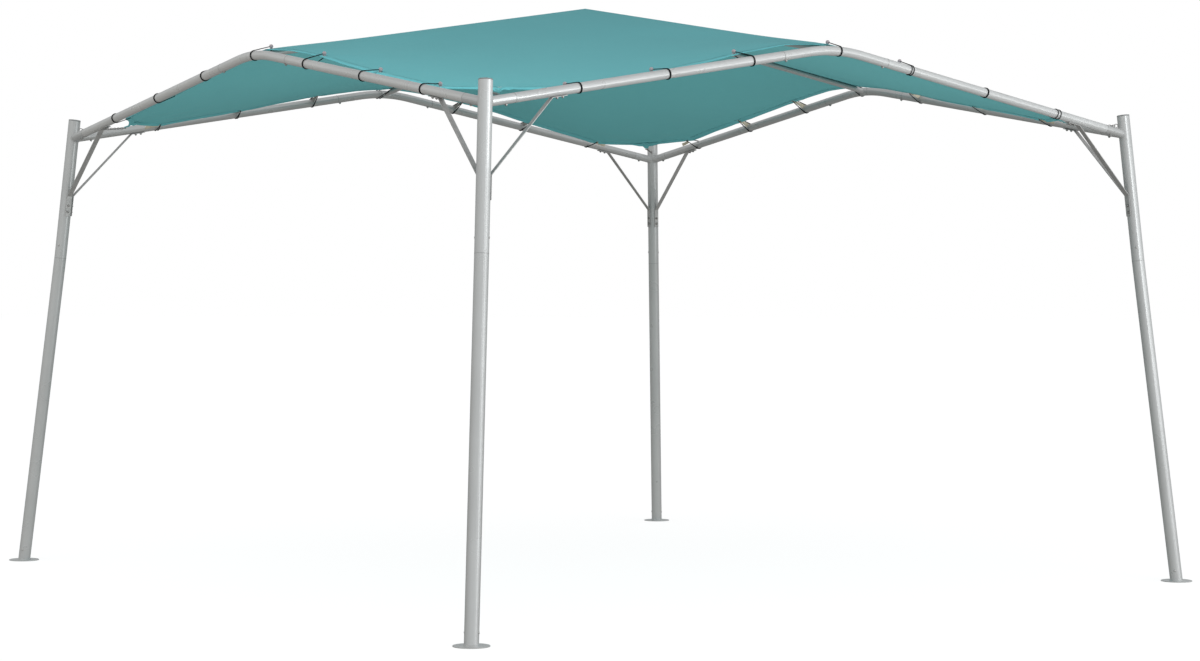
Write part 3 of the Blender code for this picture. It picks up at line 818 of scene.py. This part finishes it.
def aligned(tree, direction, axis, rotation=None, pivot="AUTO"):
    """Socket with a rotation that points an axis along a direction, on top of an earlier rotation."""
    inputs = {"Vector": direction} if rotation is None else {"Vector": direction, "Rotation": rotation}
    node = add_node(tree, "FunctionNodeAlignRotationToVector", inputs, axis=axis, pivot_axis=pivot)
    return node.outputs[0]


def set_on_points(tree, points, part):
    """Socket with a part on every point, turned by the point's aim and side."""
    rotation = None
    for attribute, axis, pivot in (("aim", "Z", "AUTO"), ("side", "X", "Z")):
        direction = geo(tree, "InputNamedAttribute", {"Name": attribute}, data_type="FLOAT_VECTOR")
        rotation = aligned(tree, direction, axis, rotation, pivot)
    return geo(tree, "InstanceOnPoints", {"Points": points, "Instance": part, "Rotation": rotation})

# %% Shape helpers
def circle(tree, sides, radius):
    """Socket with a circle, for a path or for the section of a sweep."""
    return geo(tree, "CurvePrimitiveCircle", {"Resolution": sides, "Radius": radius})


def cylinder(tree, sides, radius, depth):
    """Socket with a cylinder about its own middle."""
    return geo(tree, "MeshCylinder", {"Vertices": sides, "Radius": radius, "Depth": depth})


def sphere(tree, segments, rings, radius):
    """Socket with a ball."""
    return geo(tree, "MeshUVSphere", {"Segments": segments, "Rings": rings, "Radius": radius})


def sweep(tree, path, section, caps=False):
    """Socket with a section swept along a path."""
    return geo(tree, "CurveToMesh", {"Curve": path, "Profile Curve": section, "Fill Caps": caps})


def combined(tree, operation, parts, base=None):
    """Socket with the exact union of parts, or with the parts cut out of a base."""
    node = add_node(tree, "GeometryNodeMeshBoolean", operation=operation, solver="EXACT")
    if base is not None:
        tree.links.new(base, node.inputs["Mesh 1"])
    for part in parts:
        tree.links.new(part, node.inputs["Mesh 2"])
    return node.outputs[0]

# %% Piece helpers
def marks_mesh(name, marks):
    """Mesh of loose points from (place, aim, side) marks."""
    mesh = bpy.data.meshes.new(name)
    mesh.from_pydata([tuple(mark[0]) for mark in marks], [], [])
    for column, attribute in ((1, "aim"), (2, "side")):
        layer = mesh.attributes.new(attribute, "FLOAT_VECTOR", "POINT")
        layer.data.foreach_set("vector", [value for mark in marks for value in mark[column]])
    return mesh


def routes_mesh(name, routes, closed=False):
    """Mesh of edges along several routes of points."""
    points, edges = [], []
    for route in routes:
        start = len(points)
        points.extend(tuple(point) for point in route)
        edges.extend((start + i, start + i + 1) for i in range(len(route) - 1))
        if closed:
            edges.append((len(points) - 1, start))
    mesh = bpy.data.meshes.new(name)
    mesh.from_pydata(points, edges, [])
    return mesh


def run_tree(name, mesh, tree, sizes=None, smooth_angle=38.0):
    """Run a tree on a mesh once and keep the result as a piece that rides on the frame."""
    draft = add_object(f"{name}_draft", mesh)
    modifier = draft.modifiers.new("tree", "NODES")
    modifier.node_group = tree
    for socket in tree.interface.items_tree:
        if socket.in_out == "INPUT" and socket.name in (sizes or {}):
            modifier[socket.identifier] = sizes[socket.name]
    piece = plain_copy(draft, name)
    outward(piece.data)
    piece.data.shade_smooth()
    piece.data.set_sharp_from_angle(angle=math.radians(smooth_angle))
    return finish_piece(piece)

# %% [markdown]
# ## Eyelets
# A pressed metal eyelet stiffens every hole that a loop goes through. It is a flattened ring on both
# faces of the cloth, so one torus squashed along its axis and as thick as the hem does for both. The
# tree sweeps a small circle round a larger one and sets the result on each hole, square to the cloth.

# %% Ring tree
def ring_sizes(radius, wire, sides, wire_sides, flatness=1.0, stretch=1.0):
    """Sizes of a ring, under the names of its tree's inputs."""
    return {"Ring radius": radius, "Wire radius": wire, "Ring sides": sides, "Wire sides": wire_sides,
            "Flatness": flatness, "Stretch": stretch}


def ring_tree(name, material):
    """Ring swept from two circles, flattened along its axis and stretched across it, on every point."""
    tree, size = new_tree(name, ring_sizes(0.01, 0.001, 16, 6))
    ring = sweep(tree, circle(tree, size["Ring sides"], size["Ring radius"]),
                 circle(tree, size["Wire sides"], size["Wire radius"]))
    flat = moved(tree, ring, scale=vector_node(tree, size["Stretch"], 1.0, size["Flatness"]))
    return finish_tree(tree, set_on_points(tree, size["Geometry"], flat), material)


def cloth_normal(place):
    """Direction squarely above the cloth at a place in plan."""
    x, y, step = place.x, place.y, 0.004
    here = sheet_height([x + step, x - step, x, x], [y, y, y + step, y - step])
    return Vector(((here[1] - here[0]) / (2 * step), (here[3] - here[2]) / (2 * step), 1.0)).normalized()


def cloth_point(place):
    """Point on the middle of the cloth over a place in plan."""
    return Vector((place.x, place.y, float(sheet_height([place.x], [place.y])[0])))

# %% Press the eyelets
eyelet_marks = []
for place in [plan for _, _, plan in eyelet_plan] + tip_plan:
    normal = cloth_normal(place)
    centre = cloth_point(place) - normal * HEM_LAYER / 2
    eyelet_marks.append((centre, normal, normal.orthogonal().normalized()))
eyelet_tree = ring_tree("eyelet", finishes["bright_zinc"])
eyelets = run_tree("roof_eyelets", marks_mesh("eyelet_marks", eyelet_marks), eyelet_tree,
                   ring_sizes(0.0072, 0.0026, 20, 8, flatness=0.85))

# %% [markdown]
# ## Stitches
# The hem is held by a row of stitches. Real thread shows as short raised dashes, on top of the cloth
# and under the hem alike. The thread is the underside teal made much darker, painted shade for the
# groove that the seam presses in. The tree resamples a line along each side at the length of one
# stitch and sets a pair of tiny five-sided dashes on every point, so thousands of them stay light.

# %% Stitches
STITCH_LENGTH = 0.0062
STITCH_INSET = 0.0295
DASH_SHARE = 0.72
THREAD_PAINTED_SHADE = 0.45


def stitch_tree(material, sizes):
    """Pairs of dashes along every line, one on top of the cloth and one under the hem."""
    tree, size = new_tree("stitches", sizes)
    curve = geo(tree, "MeshToCurve", {0: size["Geometry"]})
    points = add_node(tree, "GeometryNodeCurveToPoints", {
        "Curve": curve, "Length": size["Stitch length"]}, mode="LENGTH")
    length = maths(tree, "MULTIPLY", size["Stitch length"], DASH_SHARE)
    dash = cylinder(tree, 5, size["Thread radius"], length)
    pair = add_node(tree, "GeometryNodeJoinGeometry")
    for offset in (size["Upper offset"], size["Lower offset"]):
        tree.links.new(moved(tree, dash, vector_node(tree, offset)), pair.inputs[0])
    upright = aligned(tree, (0, 0, 1), "X", aligned(tree, points.outputs["Tangent"], "Z"), "Z")
    dashes = geo(tree, "InstanceOnPoints", {
        "Points": points.outputs["Points"], "Instance": pair.outputs[0], "Rotation": upright})
    return finish_tree(tree, dashes, material)


# The thread colour is the underside teal made much darker, painted shade for the stitched groove.
thread = mottled_material("teal_thread_painted_shade", scale_tone(CLOTH_UNDER_SHADE_COLOUR, THREAD_PAINTED_SHADE), 0.15, 400.0,
                          (0.6, 0.8), 900.0, 0.0002)
stitches_tree = stitch_tree(thread, {
    "Stitch length": STITCH_LENGTH, "Thread radius": 0.0006,
    "Upper offset": half_cloth + 0.0001, "Lower offset": -half_cloth - HEM_LAYER * 0.85})
stitch_routes = [edge_rows(turn, [STITCH_INSET], HEM_SAMPLES)[0].tolist() for turn in range(4)]
stitches = run_tree("hem_stitches", routes_mesh("stitch_lines", stitch_routes), stitches_tree)

# %% [markdown]
# ## Elastic ball loops
# The sheet is tied to each beam by seven loops of black elastic. Each loop is knotted inside a plastic
# ball that sits on the cloth: it leaves the ball, goes over the beam and down its outer side, comes
# back underneath and rises through the eyelet into the ball again. Seen square to the beam its route
# is two straight runs that touch a circle, so the touching points follow from a little trigonometry.
# Two strands lie side by side, and a few loops have slipped apart on the tube.

# %% Loop routes
STRAND_RADIUS = 0.0019
STRAND_SPREAD = 0.0018
WIDE_LOOPS = {(1, 3): 0.0095, (1, 1): 0.0060, (3, 0): 0.0085, (3, 3): 0.0070, (3, 2): 0.0040}
LOOP_SLIDES = ((16, -6, -6, -2, -7, -3, 6), (6, 18, 28, -7, -13, -7, -6),
               (3, -3, 4, 0, -10, 3, 0), (13, 9, 5, 27, -15, -20, -18))
BALL_RADIUS = 0.0090
BALL_LIFT = BALL_RADIUS + 0.0016
KNOT_DEPTH = 0.006
ARC_STEPS = 22
EASE_IN = 0.12


def loop_along(turn, index):
    """Distance of a loop on the beam from the middle of its side; the slides are in millimetres."""
    return eyelet_along(turn, index) + LOOP_SLIDES[turn][index + EYELETS_PER_HALF] / 1000


def touch_angle(across, rise, radius, sign):
    """Angle round a circle where a line from a point outside touches it, above or below."""
    return math.atan2(rise, across) + sign * math.acos(radius / math.hypot(across, rise))


def loop_strand(along, spread, ball, hole):
    """Closed route of one strand of a loop on the front beam."""
    centre = beam_point(along)
    line, above = beam_frame(along)
    winding = BEAM_RADIUS + STRAND_RADIUS

    def flat(point):
        return (point - centre).dot(INWARD), (point - centre).dot(above)

    def on_tube(angle):
        across, rise = winding * math.cos(angle), winding * math.sin(angle)
        return centre + INWARD * across + above * rise + line * spread

    first = touch_angle(*flat(ball), winding, 1)
    last = touch_angle(*flat(hole), winding, -1) + math.tau
    route = [ball, ball.lerp(on_tube(first), EASE_IN)]
    route += [on_tube(first + (last - first) * step / ARC_STEPS) for step in range(ARC_STEPS + 1)]
    return route + [hole.lerp(route[-1], EASE_IN), hole, ball]

# %% Lay the loops
strand_routes, ball_marks = [], []
for turn, index, plan in eyelet_plan:
    back = FRONT_TO_SIDE[turn].transposed()
    normal = cloth_normal(plan)
    ball_marks.append((cloth_point(plan) + normal * BALL_LIFT, normal, FRONT_TO_SIDE[turn] @ INWARD))
    hole, above = back @ cloth_point(plan), back @ normal
    spread = WIDE_LOOPS.get((turn, index), STRAND_SPREAD)
    for hand in (-1, 1):
        route = loop_strand(loop_along(turn, index), hand * spread, hole + above * BALL_LIFT,
                            hole - above * KNOT_DEPTH)
        strand_routes.append([FRONT_TO_SIDE[turn] @ point for point in route])
lengths = [sum((b - a).length for a, b in zip(route, route[1:])) for route in strand_routes]
print("loops:", len(ball_marks), "each", round(min(lengths), 3), "to", round(max(lengths), 3), "round")

# %% [markdown]
# The tree turns each route into a curve and sweeps a small circle along it. Sweeping keeps the cord
# round through every bend, and the number of sides is an input, so the weight of the mesh stays in
# hand. The ball is a sphere with a short neck where the strands go in.

# %% Cords and balls
NECK_DROP = 0.62


def cord_tree(name, material, sizes):
    """Round cord along every route."""
    tree, size = new_tree(name, sizes)
    curve = geo(tree, "MeshToCurve", {0: size["Geometry"]})
    cord = sweep(tree, curve, circle(tree, size["Cord sides"], size["Cord radius"]), True)
    return finish_tree(tree, cord, material)


def ball_tree(material, sizes):
    """Ball with a neck below it, on every point."""
    tree, size = new_tree("loop_ball", sizes)
    drop = maths(tree, "MULTIPLY", size["Ball radius"], -NECK_DROP)
    neck = cylinder(tree, 16, size["Neck radius"], size["Ball radius"])
    whole = combined(tree, "UNION", (sphere(tree, 20, 12, size["Ball radius"]),
                                     moved(tree, neck, vector_node(tree, z=drop))))
    return finish_tree(tree, set_on_points(tree, size["Geometry"], whole), material)


elastic_tree = cord_tree("elastic_cord", finishes["black_elastic"], {
    "Cord radius": STRAND_RADIUS, "Cord sides": 8})
run_tree("elastic_loops", routes_mesh("loop_routes", strand_routes), elastic_tree, smooth_angle=80.0)
balls_tree = ball_tree(finishes["loop_ball"], {"Ball radius": BALL_RADIUS, "Neck radius": 0.0045})
run_tree("loop_balls", marks_mesh("ball_marks", ball_marks), balls_tree)

# %% [markdown]
# ## Bolts
# A bolt goes through every joint of the frame. From outside it shows as a washer with a six-sided head
# or a domed nut on it. All are the same three solids in other sizes, so one tree fuses a washer, a
# six-sided head and a dome with an exact union, and the sizes are inputs.

# %% Bolt tree
DOME_SEAT = 0.92
DOME_FLATNESS = 0.75


def bolt_tree(material, sizes):
    """Washer, six-sided head and dome in one body, on every point."""
    tree, size = new_tree("bolt", sizes)

    def rise(share_of_head):
        head_part = maths(tree, "MULTIPLY", size["Head height"], share_of_head)
        return vector_node(tree, z=maths(tree, "ADD", size["Washer height"], head_part))

    washer = cylinder(tree, 24, size["Washer radius"], size["Washer height"])
    head = cylinder(tree, 6, size["Head radius"], size["Head height"])
    dome = sphere(tree, 16, 8, size["Dome radius"])
    half_washer = vector_node(tree, z=maths(tree, "MULTIPLY", size["Washer height"], 0.5))
    whole = combined(tree, "UNION", (moved(tree, washer, half_washer), moved(tree, head, rise(0.5)),
                                     moved(tree, dome, rise(DOME_SEAT), (1.0, 1.0, DOME_FLATNESS))))
    return finish_tree(tree, set_on_points(tree, size["Geometry"], whole), material)


bolts_tree = bolt_tree(finishes["bolt_steel"], {
    "Washer radius": 0.0075, "Washer height": 0.0012, "Head radius": 0.0058, "Head height": 0.0040,
    "Dome radius": 0.0040})

# %% Places of the bolts
JOINT_BOLT_INSET = 0.016
STUB_BOLT_OFFSET = 0.095
BOLT_SINK = 0.0006
TAB_BOLTS = (0.020, 0.048)
TAB_THICKNESS = 0.0033
POST_BOLT_HEIGHTS = (1.752, 1.722)


def turned_mark(turn, place, aim, side):
    """A mark of the front side, turned to another side."""
    return tuple(FRONT_TO_SIDE[turn] @ vector for vector in (place, aim.normalized(), side.normalized()))


def beam_mark(turn, along, rise):
    """A mark on the underside of a beam, a rise off its skin."""
    line, above = beam_frame(along)
    return turned_mark(turn, beam_point(along) - above * (BEAM_RADIUS + rise), -above, line)


def post_mark(turn, height, flat, rise=0.0):
    """A mark on a post's skin at a height, where a level direction leaves it."""
    line = LOWER_POST if height < post_seam.z else UPPER_POST
    face = (flat - line * flat.dot(line)).normalized()
    return turned_mark(turn, post_point(height) + face * (POST_RADIUS + rise), face, line)

# %% Set the bolts
TAB_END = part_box("brace_front_right_1")[0].x
beam_rows = [(BEND_END - JOINT_BOLT_INSET, -BOLT_SINK), (BEAM_OFFSET - STUB_BOLT_OFFSET, -BOLT_SINK)]
beam_rows += [(TAB_END + inset, TAB_THICKNESS) for inset in TAB_BOLTS]
STUB_SIDES = (Vector((-1, 0, 0)), Vector((0, 1, 0)))
bolt_marks = [beam_mark(turn, hand * along, rise)
              for turn in range(4) for hand in (-1, 1) for along, rise in beam_rows]
bolt_marks += [post_mark(turn, height, flat, TAB_THICKNESS)
               for turn in range(4) for flat in STUB_SIDES for height in POST_BOLT_HEIGHTS]
run_tree("frame_bolts", marks_mesh("bolt_marks", bolt_marks), bolts_tree)

# %% [markdown]
# ## Screws
# The post sections and the feet are locked by small pan head screws with a cross recess. Here the tree
# works the other way round: a flattened ball is the head, and two thin bars are cut out of it.

# %% Screws
SCREW_HEIGHTS = (1.556, 0.052)
SCREW_SIDES = (Vector((-0.8, -0.6, 0)), Vector((0.8, 0.6, 0)))


def screw_tree(material, sizes):
    """Pan head with a cross recess, on every point."""
    tree, size = new_tree("pan_screw", sizes)
    head = moved(tree, sphere(tree, 18, 10, size["Head radius"]),
                 scale=vector_node(tree, 1.0, 1.0, size["Flatness"]))
    lift = vector_node(tree, z=maths(tree, "MULTIPLY", size["Head radius"], size["Flatness"]))
    long_side, short_side = size["Recess length"], size["Recess width"]
    bars = [moved(tree, geo(tree, "MeshCube", {"Size": vector_node(tree, x, y, short_side)}), lift)
            for x, y in ((long_side, short_side), (short_side, long_side))]
    whole = combined(tree, "DIFFERENCE", bars, head)
    return finish_tree(tree, set_on_points(tree, size["Geometry"], whole), material)


pan_tree = screw_tree(finishes["bright_zinc"], {
    "Head radius": 0.0055, "Flatness": 0.55, "Recess length": 0.0056, "Recess width": 0.0013})
screw_marks = [post_mark(turn, height, flat)
               for turn in range(4) for height in SCREW_HEIGHTS for flat in SCREW_SIDES]
run_tree("post_screws", marks_mesh("screw_marks", screw_marks), pan_tree)

# %% [markdown]
# ## Joint rings
# Where one tube plugs into the next, the edge of the outer tube throws a fine line of shade into the
# gap. A thin dark wire ring round the tube paints that shadow. The ring tree that made the eyelets
# makes these too, with other sizes.

# %% Joint rings
RING_WIRE = 0.0006
RING_SINK = 0.0001
DIAGONAL = Vector((1, 1, 0)).normalized()

joint_shadow_tree = ring_tree("joint_shadow_ring", finishes["joint_shadow_ring"])
ring_marks = []
for turn in range(4):
    for along in (BEND_END, -BEND_END, beam_outer.x, -beam_outer.x):
        line, above = beam_frame(-along)
        ring_marks.append(turned_mark(turn, beam_point(-along), line, above))
run_tree("beam_joint_shadow_rings", marks_mesh("ring_marks", ring_marks), joint_shadow_tree,
         sizes=ring_sizes(BEAM_RADIUS - RING_SINK, RING_WIRE, 40, 6))
seam_marks = [turned_mark(turn, place, UPPER_POST, DIAGONAL)
              for place in (post_seam, post_head) for turn in range(4)]
run_tree("post_joint_shadow_rings", marks_mesh("seam_marks", seam_marks), joint_shadow_tree,
         sizes=ring_sizes(POST_RADIUS - RING_SINK, RING_WIRE, 48, 6))
print("beam joints at", round(BEND_END, 4), "and", round(beam_outer.x, 4))

# %% [markdown]
# ## Weld beads
# The stubs of the beams are welded to the posts, and the posts to their foot plates. A bead follows
# the curve where two tubes meet. That curve is found point by point: each line along the stub's skin
# is followed until it meets the post. A rippled cord along it looks like a laid weld.

# %% Weld routes
WELD_POINTS = 56
OUT = Vector((1, -1, 0)).normalized()


def foot_weld_route():
    """Ring where the front right post meets its plate."""
    centre = Vector((post_foot.x, post_foot.y, PLATE_TOP))
    route = []
    for step in range(WELD_POINTS):
        angle = math.tau * step / WELD_POINTS
        route.append(centre + (OUT * math.cos(angle) * POST_RADIUS / LOWER_POST.z
                               + DIAGONAL * math.sin(angle) * POST_RADIUS))
    return route


def stub_weld_route(flat):
    """Ring where a stub meets the front right post; flat is its level direction away from the post."""
    line = (flat * math.cos(BEAM_SLOPE) + Vector((0, 0, 1)) * math.sin(BEAM_SLOPE)).normalized()
    corner = Vector((BEAM_OFFSET, -BEAM_OFFSET, beam_point(BEAM_OFFSET).z))
    side = line.cross(UPPER_POST).normalized()
    above = side.cross(line).normalized()
    route = []
    for step in range(WELD_POINTS):
        angle = math.tau * step / WELD_POINTS
        start = corner + (side * math.cos(angle) + above * math.sin(angle)) * BEAM_RADIUS
        offset = start - post_seam
        a = line - UPPER_POST * line.dot(UPPER_POST)
        b = offset - UPPER_POST * offset.dot(UPPER_POST)
        half = a.dot(b) / a.length_squared
        root = half * half - (b.length_squared - POST_RADIUS**2) / a.length_squared
        route.append(start + line * (-half + math.sqrt(max(root, 0.0))))
    return route

# %% Weld beads
WELD_RADIUS = 0.0030


def weld_tree(material, sizes):
    """Rippled bead along every closed route."""
    tree, size = new_tree("weld_bead", sizes)
    curve = geo(tree, "MeshToCurve", {0: size["Geometry"]})
    fine = geo(tree, "ResampleCurve", {"Curve": curve, "Count": size["Bead points"]})
    wave = maths(tree, "SINE", maths(tree, "MULTIPLY", geo(tree, "InputIndex"), size["Ripple pace"]), 0.0)
    swell = maths(tree, "ADD", maths(tree, "MULTIPLY", wave, size["Ripple size"]), 1.0)
    thick = geo(tree, "SetCurveRadius", {"Curve": fine, "Radius": swell})
    swept = add_node(tree, "GeometryNodeCurveToMesh", {
        "Curve": thick, "Profile Curve": circle(tree, 8, size["Bead radius"])})
    if "Scale" in swept.inputs:
        tree.links.new(geo(tree, "InputRadius"), swept.inputs["Scale"])
    return finish_tree(tree, swept.outputs[0], material)


weld_routes = []
for turn in range(4):
    for route in (foot_weld_route(), *(stub_weld_route(flat) for flat in STUB_SIDES)):
        weld_routes.append([FRONT_TO_SIDE[turn] @ point for point in route])
beads_tree = weld_tree(finishes["weld_bead"], {
    "Bead points": 110, "Ripple pace": 1.9, "Ripple size": 0.12, "Bead radius": WELD_RADIUS})
run_tree("weld_beads", routes_mesh("weld_routes", weld_routes, True), beads_tree,
         smooth_angle=70.0)

# %% [markdown]
# ## Corner ties
# Each corner of the sheet ends in a folded tab with a ring, and a short chain pulls the ring to an eye
# on the inner side of the post. The tab is a loft of a few flat sections. A chain link is a ring that
# is stretched along the chain, so the ring tree makes the links, the ring and the eye alike.

# %% Corner tabs
TAB_START, TAB_FINISH = -0.055, 0.018
TAB_STEPS = 11
TAB_HALF_WIDTH = 0.021
TAB_TAPER = 0.50
TAB_HALF_THICKNESS = 0.0016
TAB_DROP = 0.35
TAB_HOLD = 0.004
FLAT_SECTION = ((-1, -0.5), (-0.9, -1), (0.9, -1), (1, -0.5), (1, 0.5), (0.9, 1), (-0.9, 1), (-1, 0.5))
tip_place = Vector((SHEET_TIP, -SHEET_TIP, 0))


def tab_rings(turn):
    """Flat rounded sections from inside the corner of the cloth out to the ring."""
    rings = []
    width_axis, out, corner = (FRONT_TO_SIDE[turn] @ vector for vector in (DIAGONAL, OUT, tip_place))
    for step in range(TAB_STEPS + 1):
        share = step / TAB_STEPS
        reach = TAB_START + (TAB_FINISH - TAB_START) * share
        plan = corner + out * reach
        height = cloth_point(corner + out * min(reach, -TAB_HOLD)).z - HEM_LAYER - TAB_HALF_THICKNESS
        height -= max(reach, 0) * TAB_DROP
        half = TAB_HALF_WIDTH * (1 - TAB_TAPER * share)
        rings.append([(plan.x + width_axis.x * half * a, plan.y + width_axis.y * half * a,
                       height + TAB_HALF_THICKNESS * b) for a, b in FLAT_SECTION])
    return np.array(rings)


tab_points, tab_faces = [], []
for turn in range(4):
    add_loft(tab_points, tab_faces, tab_rings(turn))
# The tabs take the darker hem copy of the teal, painted shade.
tabs = mesh_object("corner_tabs", tab_points, tab_faces, cloth_hem_shaded, 50.0)
lay_weave(tabs.data, 1.0)
cloth_group.objects.link(tabs)
finish_piece(tabs)

# %% Rings, eyes and chains
EYE_HEIGHT = 2.121
TIE_RING_RADIUS = 0.0085
TIE_RING_GAP = 0.004
LINK_PITCH = 0.0091
LINK_START = 0.003

eye_point = post_point(EYE_HEIGHT) - OUT * (POST_RADIUS + TIE_RING_RADIUS)
ring_drop = HEM_LAYER + TAB_HALF_THICKNESS + TAB_FINISH * TAB_DROP
ring_point = cloth_point(tip_place) + OUT * (TAB_FINISH + TIE_RING_GAP) - Vector((0, 0, ring_drop))
tie_line = (eye_point - ring_point).normalized()
tie_side = tie_line.cross(Vector((0, 0, 1))).normalized()
tie_up = tie_side.cross(tie_line).normalized()
tie_tree = ring_tree("tie_ring", finishes["bolt_steel"])
tie_marks = [turned_mark(turn, place, aim, tie_line) for turn in range(4)
             for place, aim in ((ring_point, tie_up), (eye_point, tie_side))]
run_tree("tie_rings", marks_mesh("tie_marks", tie_marks), tie_tree,
         ring_sizes(TIE_RING_RADIUS, 0.0017, 28, 8))

chain_start = ring_point + tie_line * (TIE_RING_RADIUS + LINK_START)
chain_end = eye_point - tie_line * (TIE_RING_RADIUS + LINK_START)
LINK_COUNT = round((chain_end - chain_start).length / LINK_PITCH) + 1
link_marks = []
for turn in range(4):
    for number in range(LINK_COUNT):
        place = chain_start.lerp(chain_end, number / (LINK_COUNT - 1))
        link_marks.append(turned_mark(turn, place, (tie_side, tie_up)[number % 2], tie_line))
run_tree("tie_chains", marks_mesh("link_marks", link_marks), tie_tree,
         ring_sizes(0.0040, 0.0014, 16, 6, stretch=1.75))
print("links in each chain:", LINK_COUNT, "length:", round((eye_point - ring_point).length, 3))

# %% [markdown]
# ## Cream tapes
# On the two far sides a length of cream webbing hangs from the last eyelet towards each corner, and
# the loops between are filled by a gore of cream webbing. The gores on the left take a dark grey copy
# of the cream, painted shade for that side. A tape is a flat section lofted along a drooping line. A
# gore is a thin plate between the two runs of its loop.

# %% Tapes
TAPE_LENGTH = 0.072
TAPE_STEPS = 8
TAPE_HALF_WIDTH = 0.0085
TAPE_HALF_THICKNESS = 0.0006
TAPE_HANG = 0.005
TAPE_DROOP = 0.013
TAPE_SWING = 0.016


def tape_rings(turn, hand):
    """Flat sections of a tape that hangs from the last eyelet of a side."""
    start = eyelet_along(turn, hand * EYELETS_PER_HALF)
    top = cloth_point(eyelet_place(turn, start + hand * 0.01)).z - TAPE_HANG
    rings = []
    for step in range(TAPE_STEPS + 1):
        share = step / TAPE_STEPS
        out = SHEET_FULL - EYELET_INSET * 0.6 + TAPE_SWING * share
        tip = Vector((start + hand * TAPE_LENGTH * share, -out, top - TAPE_DROOP * share**0.8))
        twist = math.radians(25 + 35 * share)
        across = Vector((0, math.cos(twist), math.sin(twist))) * TAPE_HALF_WIDTH
        thick = Vector((0, -math.sin(twist), math.cos(twist))) * TAPE_HALF_THICKNESS
        rings.append([tuple(FRONT_TO_SIDE[turn] @ (tip + across * a + thick * b))
                      for a, b in FLAT_SECTION])
    return np.array(rings)


tape_points, tape_faces = [], []
for turn, hand in ((2, -1), (2, 1), (3, -1), (3, 1)):
    add_loft(tape_points, tape_faces, tape_rings(turn, hand))
print("tape faces:", len(tape_faces))

# %% Gores
GORE_HALF_THICKNESS = 0.0005
GORE_HALF_DEPTH = 0.004
GORE_SKIN = 0.0006
GORE_ANGLES = np.radians(np.linspace(92.0, 5.0, 7)).tolist()
SHADED_GORE_REACH = 1.2


def add_gore(points, faces, turn, index):
    """Append a thin plate between the runs of one loop, from its eyelet to the skin of the beam."""
    plan = eyelet_place(turn, eyelet_along(turn, index))
    hole = FRONT_TO_SIDE[turn].transposed() @ cloth_point(plan)
    centre = beam_point(loop_along(turn, index))
    line, above = beam_frame(loop_along(turn, index))
    outline = [hole - Vector((0, 0, GORE_HALF_DEPTH)), hole + Vector((0, 0, GORE_HALF_DEPTH))]
    reach = BEAM_RADIUS + GORE_SKIN
    for angle in GORE_ANGLES:
        outline.append(centre + (INWARD * math.cos(angle) + above * math.sin(angle)) * reach)
    start, count = len(points), len(outline)
    for hand in (-1, 1):
        shift = line * GORE_HALF_THICKNESS * hand
        points.extend(tuple(FRONT_TO_SIDE[turn] @ (place + shift)) for place in outline)
    faces.append(tuple(start + i for i in reversed(range(count))))
    faces.append(tuple(start + count + i for i in range(count)))
    faces.extend((start + i, start + (i + 1) % count, start + count + (i + 1) % count, start + count + i)
                 for i in range(count))


for turn in (2, 3):
    for index in (-2, -1, 1, 2):
        add_gore(tape_points, tape_faces, turn, index)
tapes = mesh_object("cream_tapes", tape_points, tape_faces, finishes["cream_tape"], 40.0)
tapes.data.materials.append(finishes["cream_tape_painted_shade"])
# Gores on the left take the grey copy of the cream, painted shade.
for face in tapes.data.polygons:
    face.material_index = 1 if abs(face.center.y) < SHADED_GORE_REACH and face.center.x < 0 else 0
finish_piece(tapes)
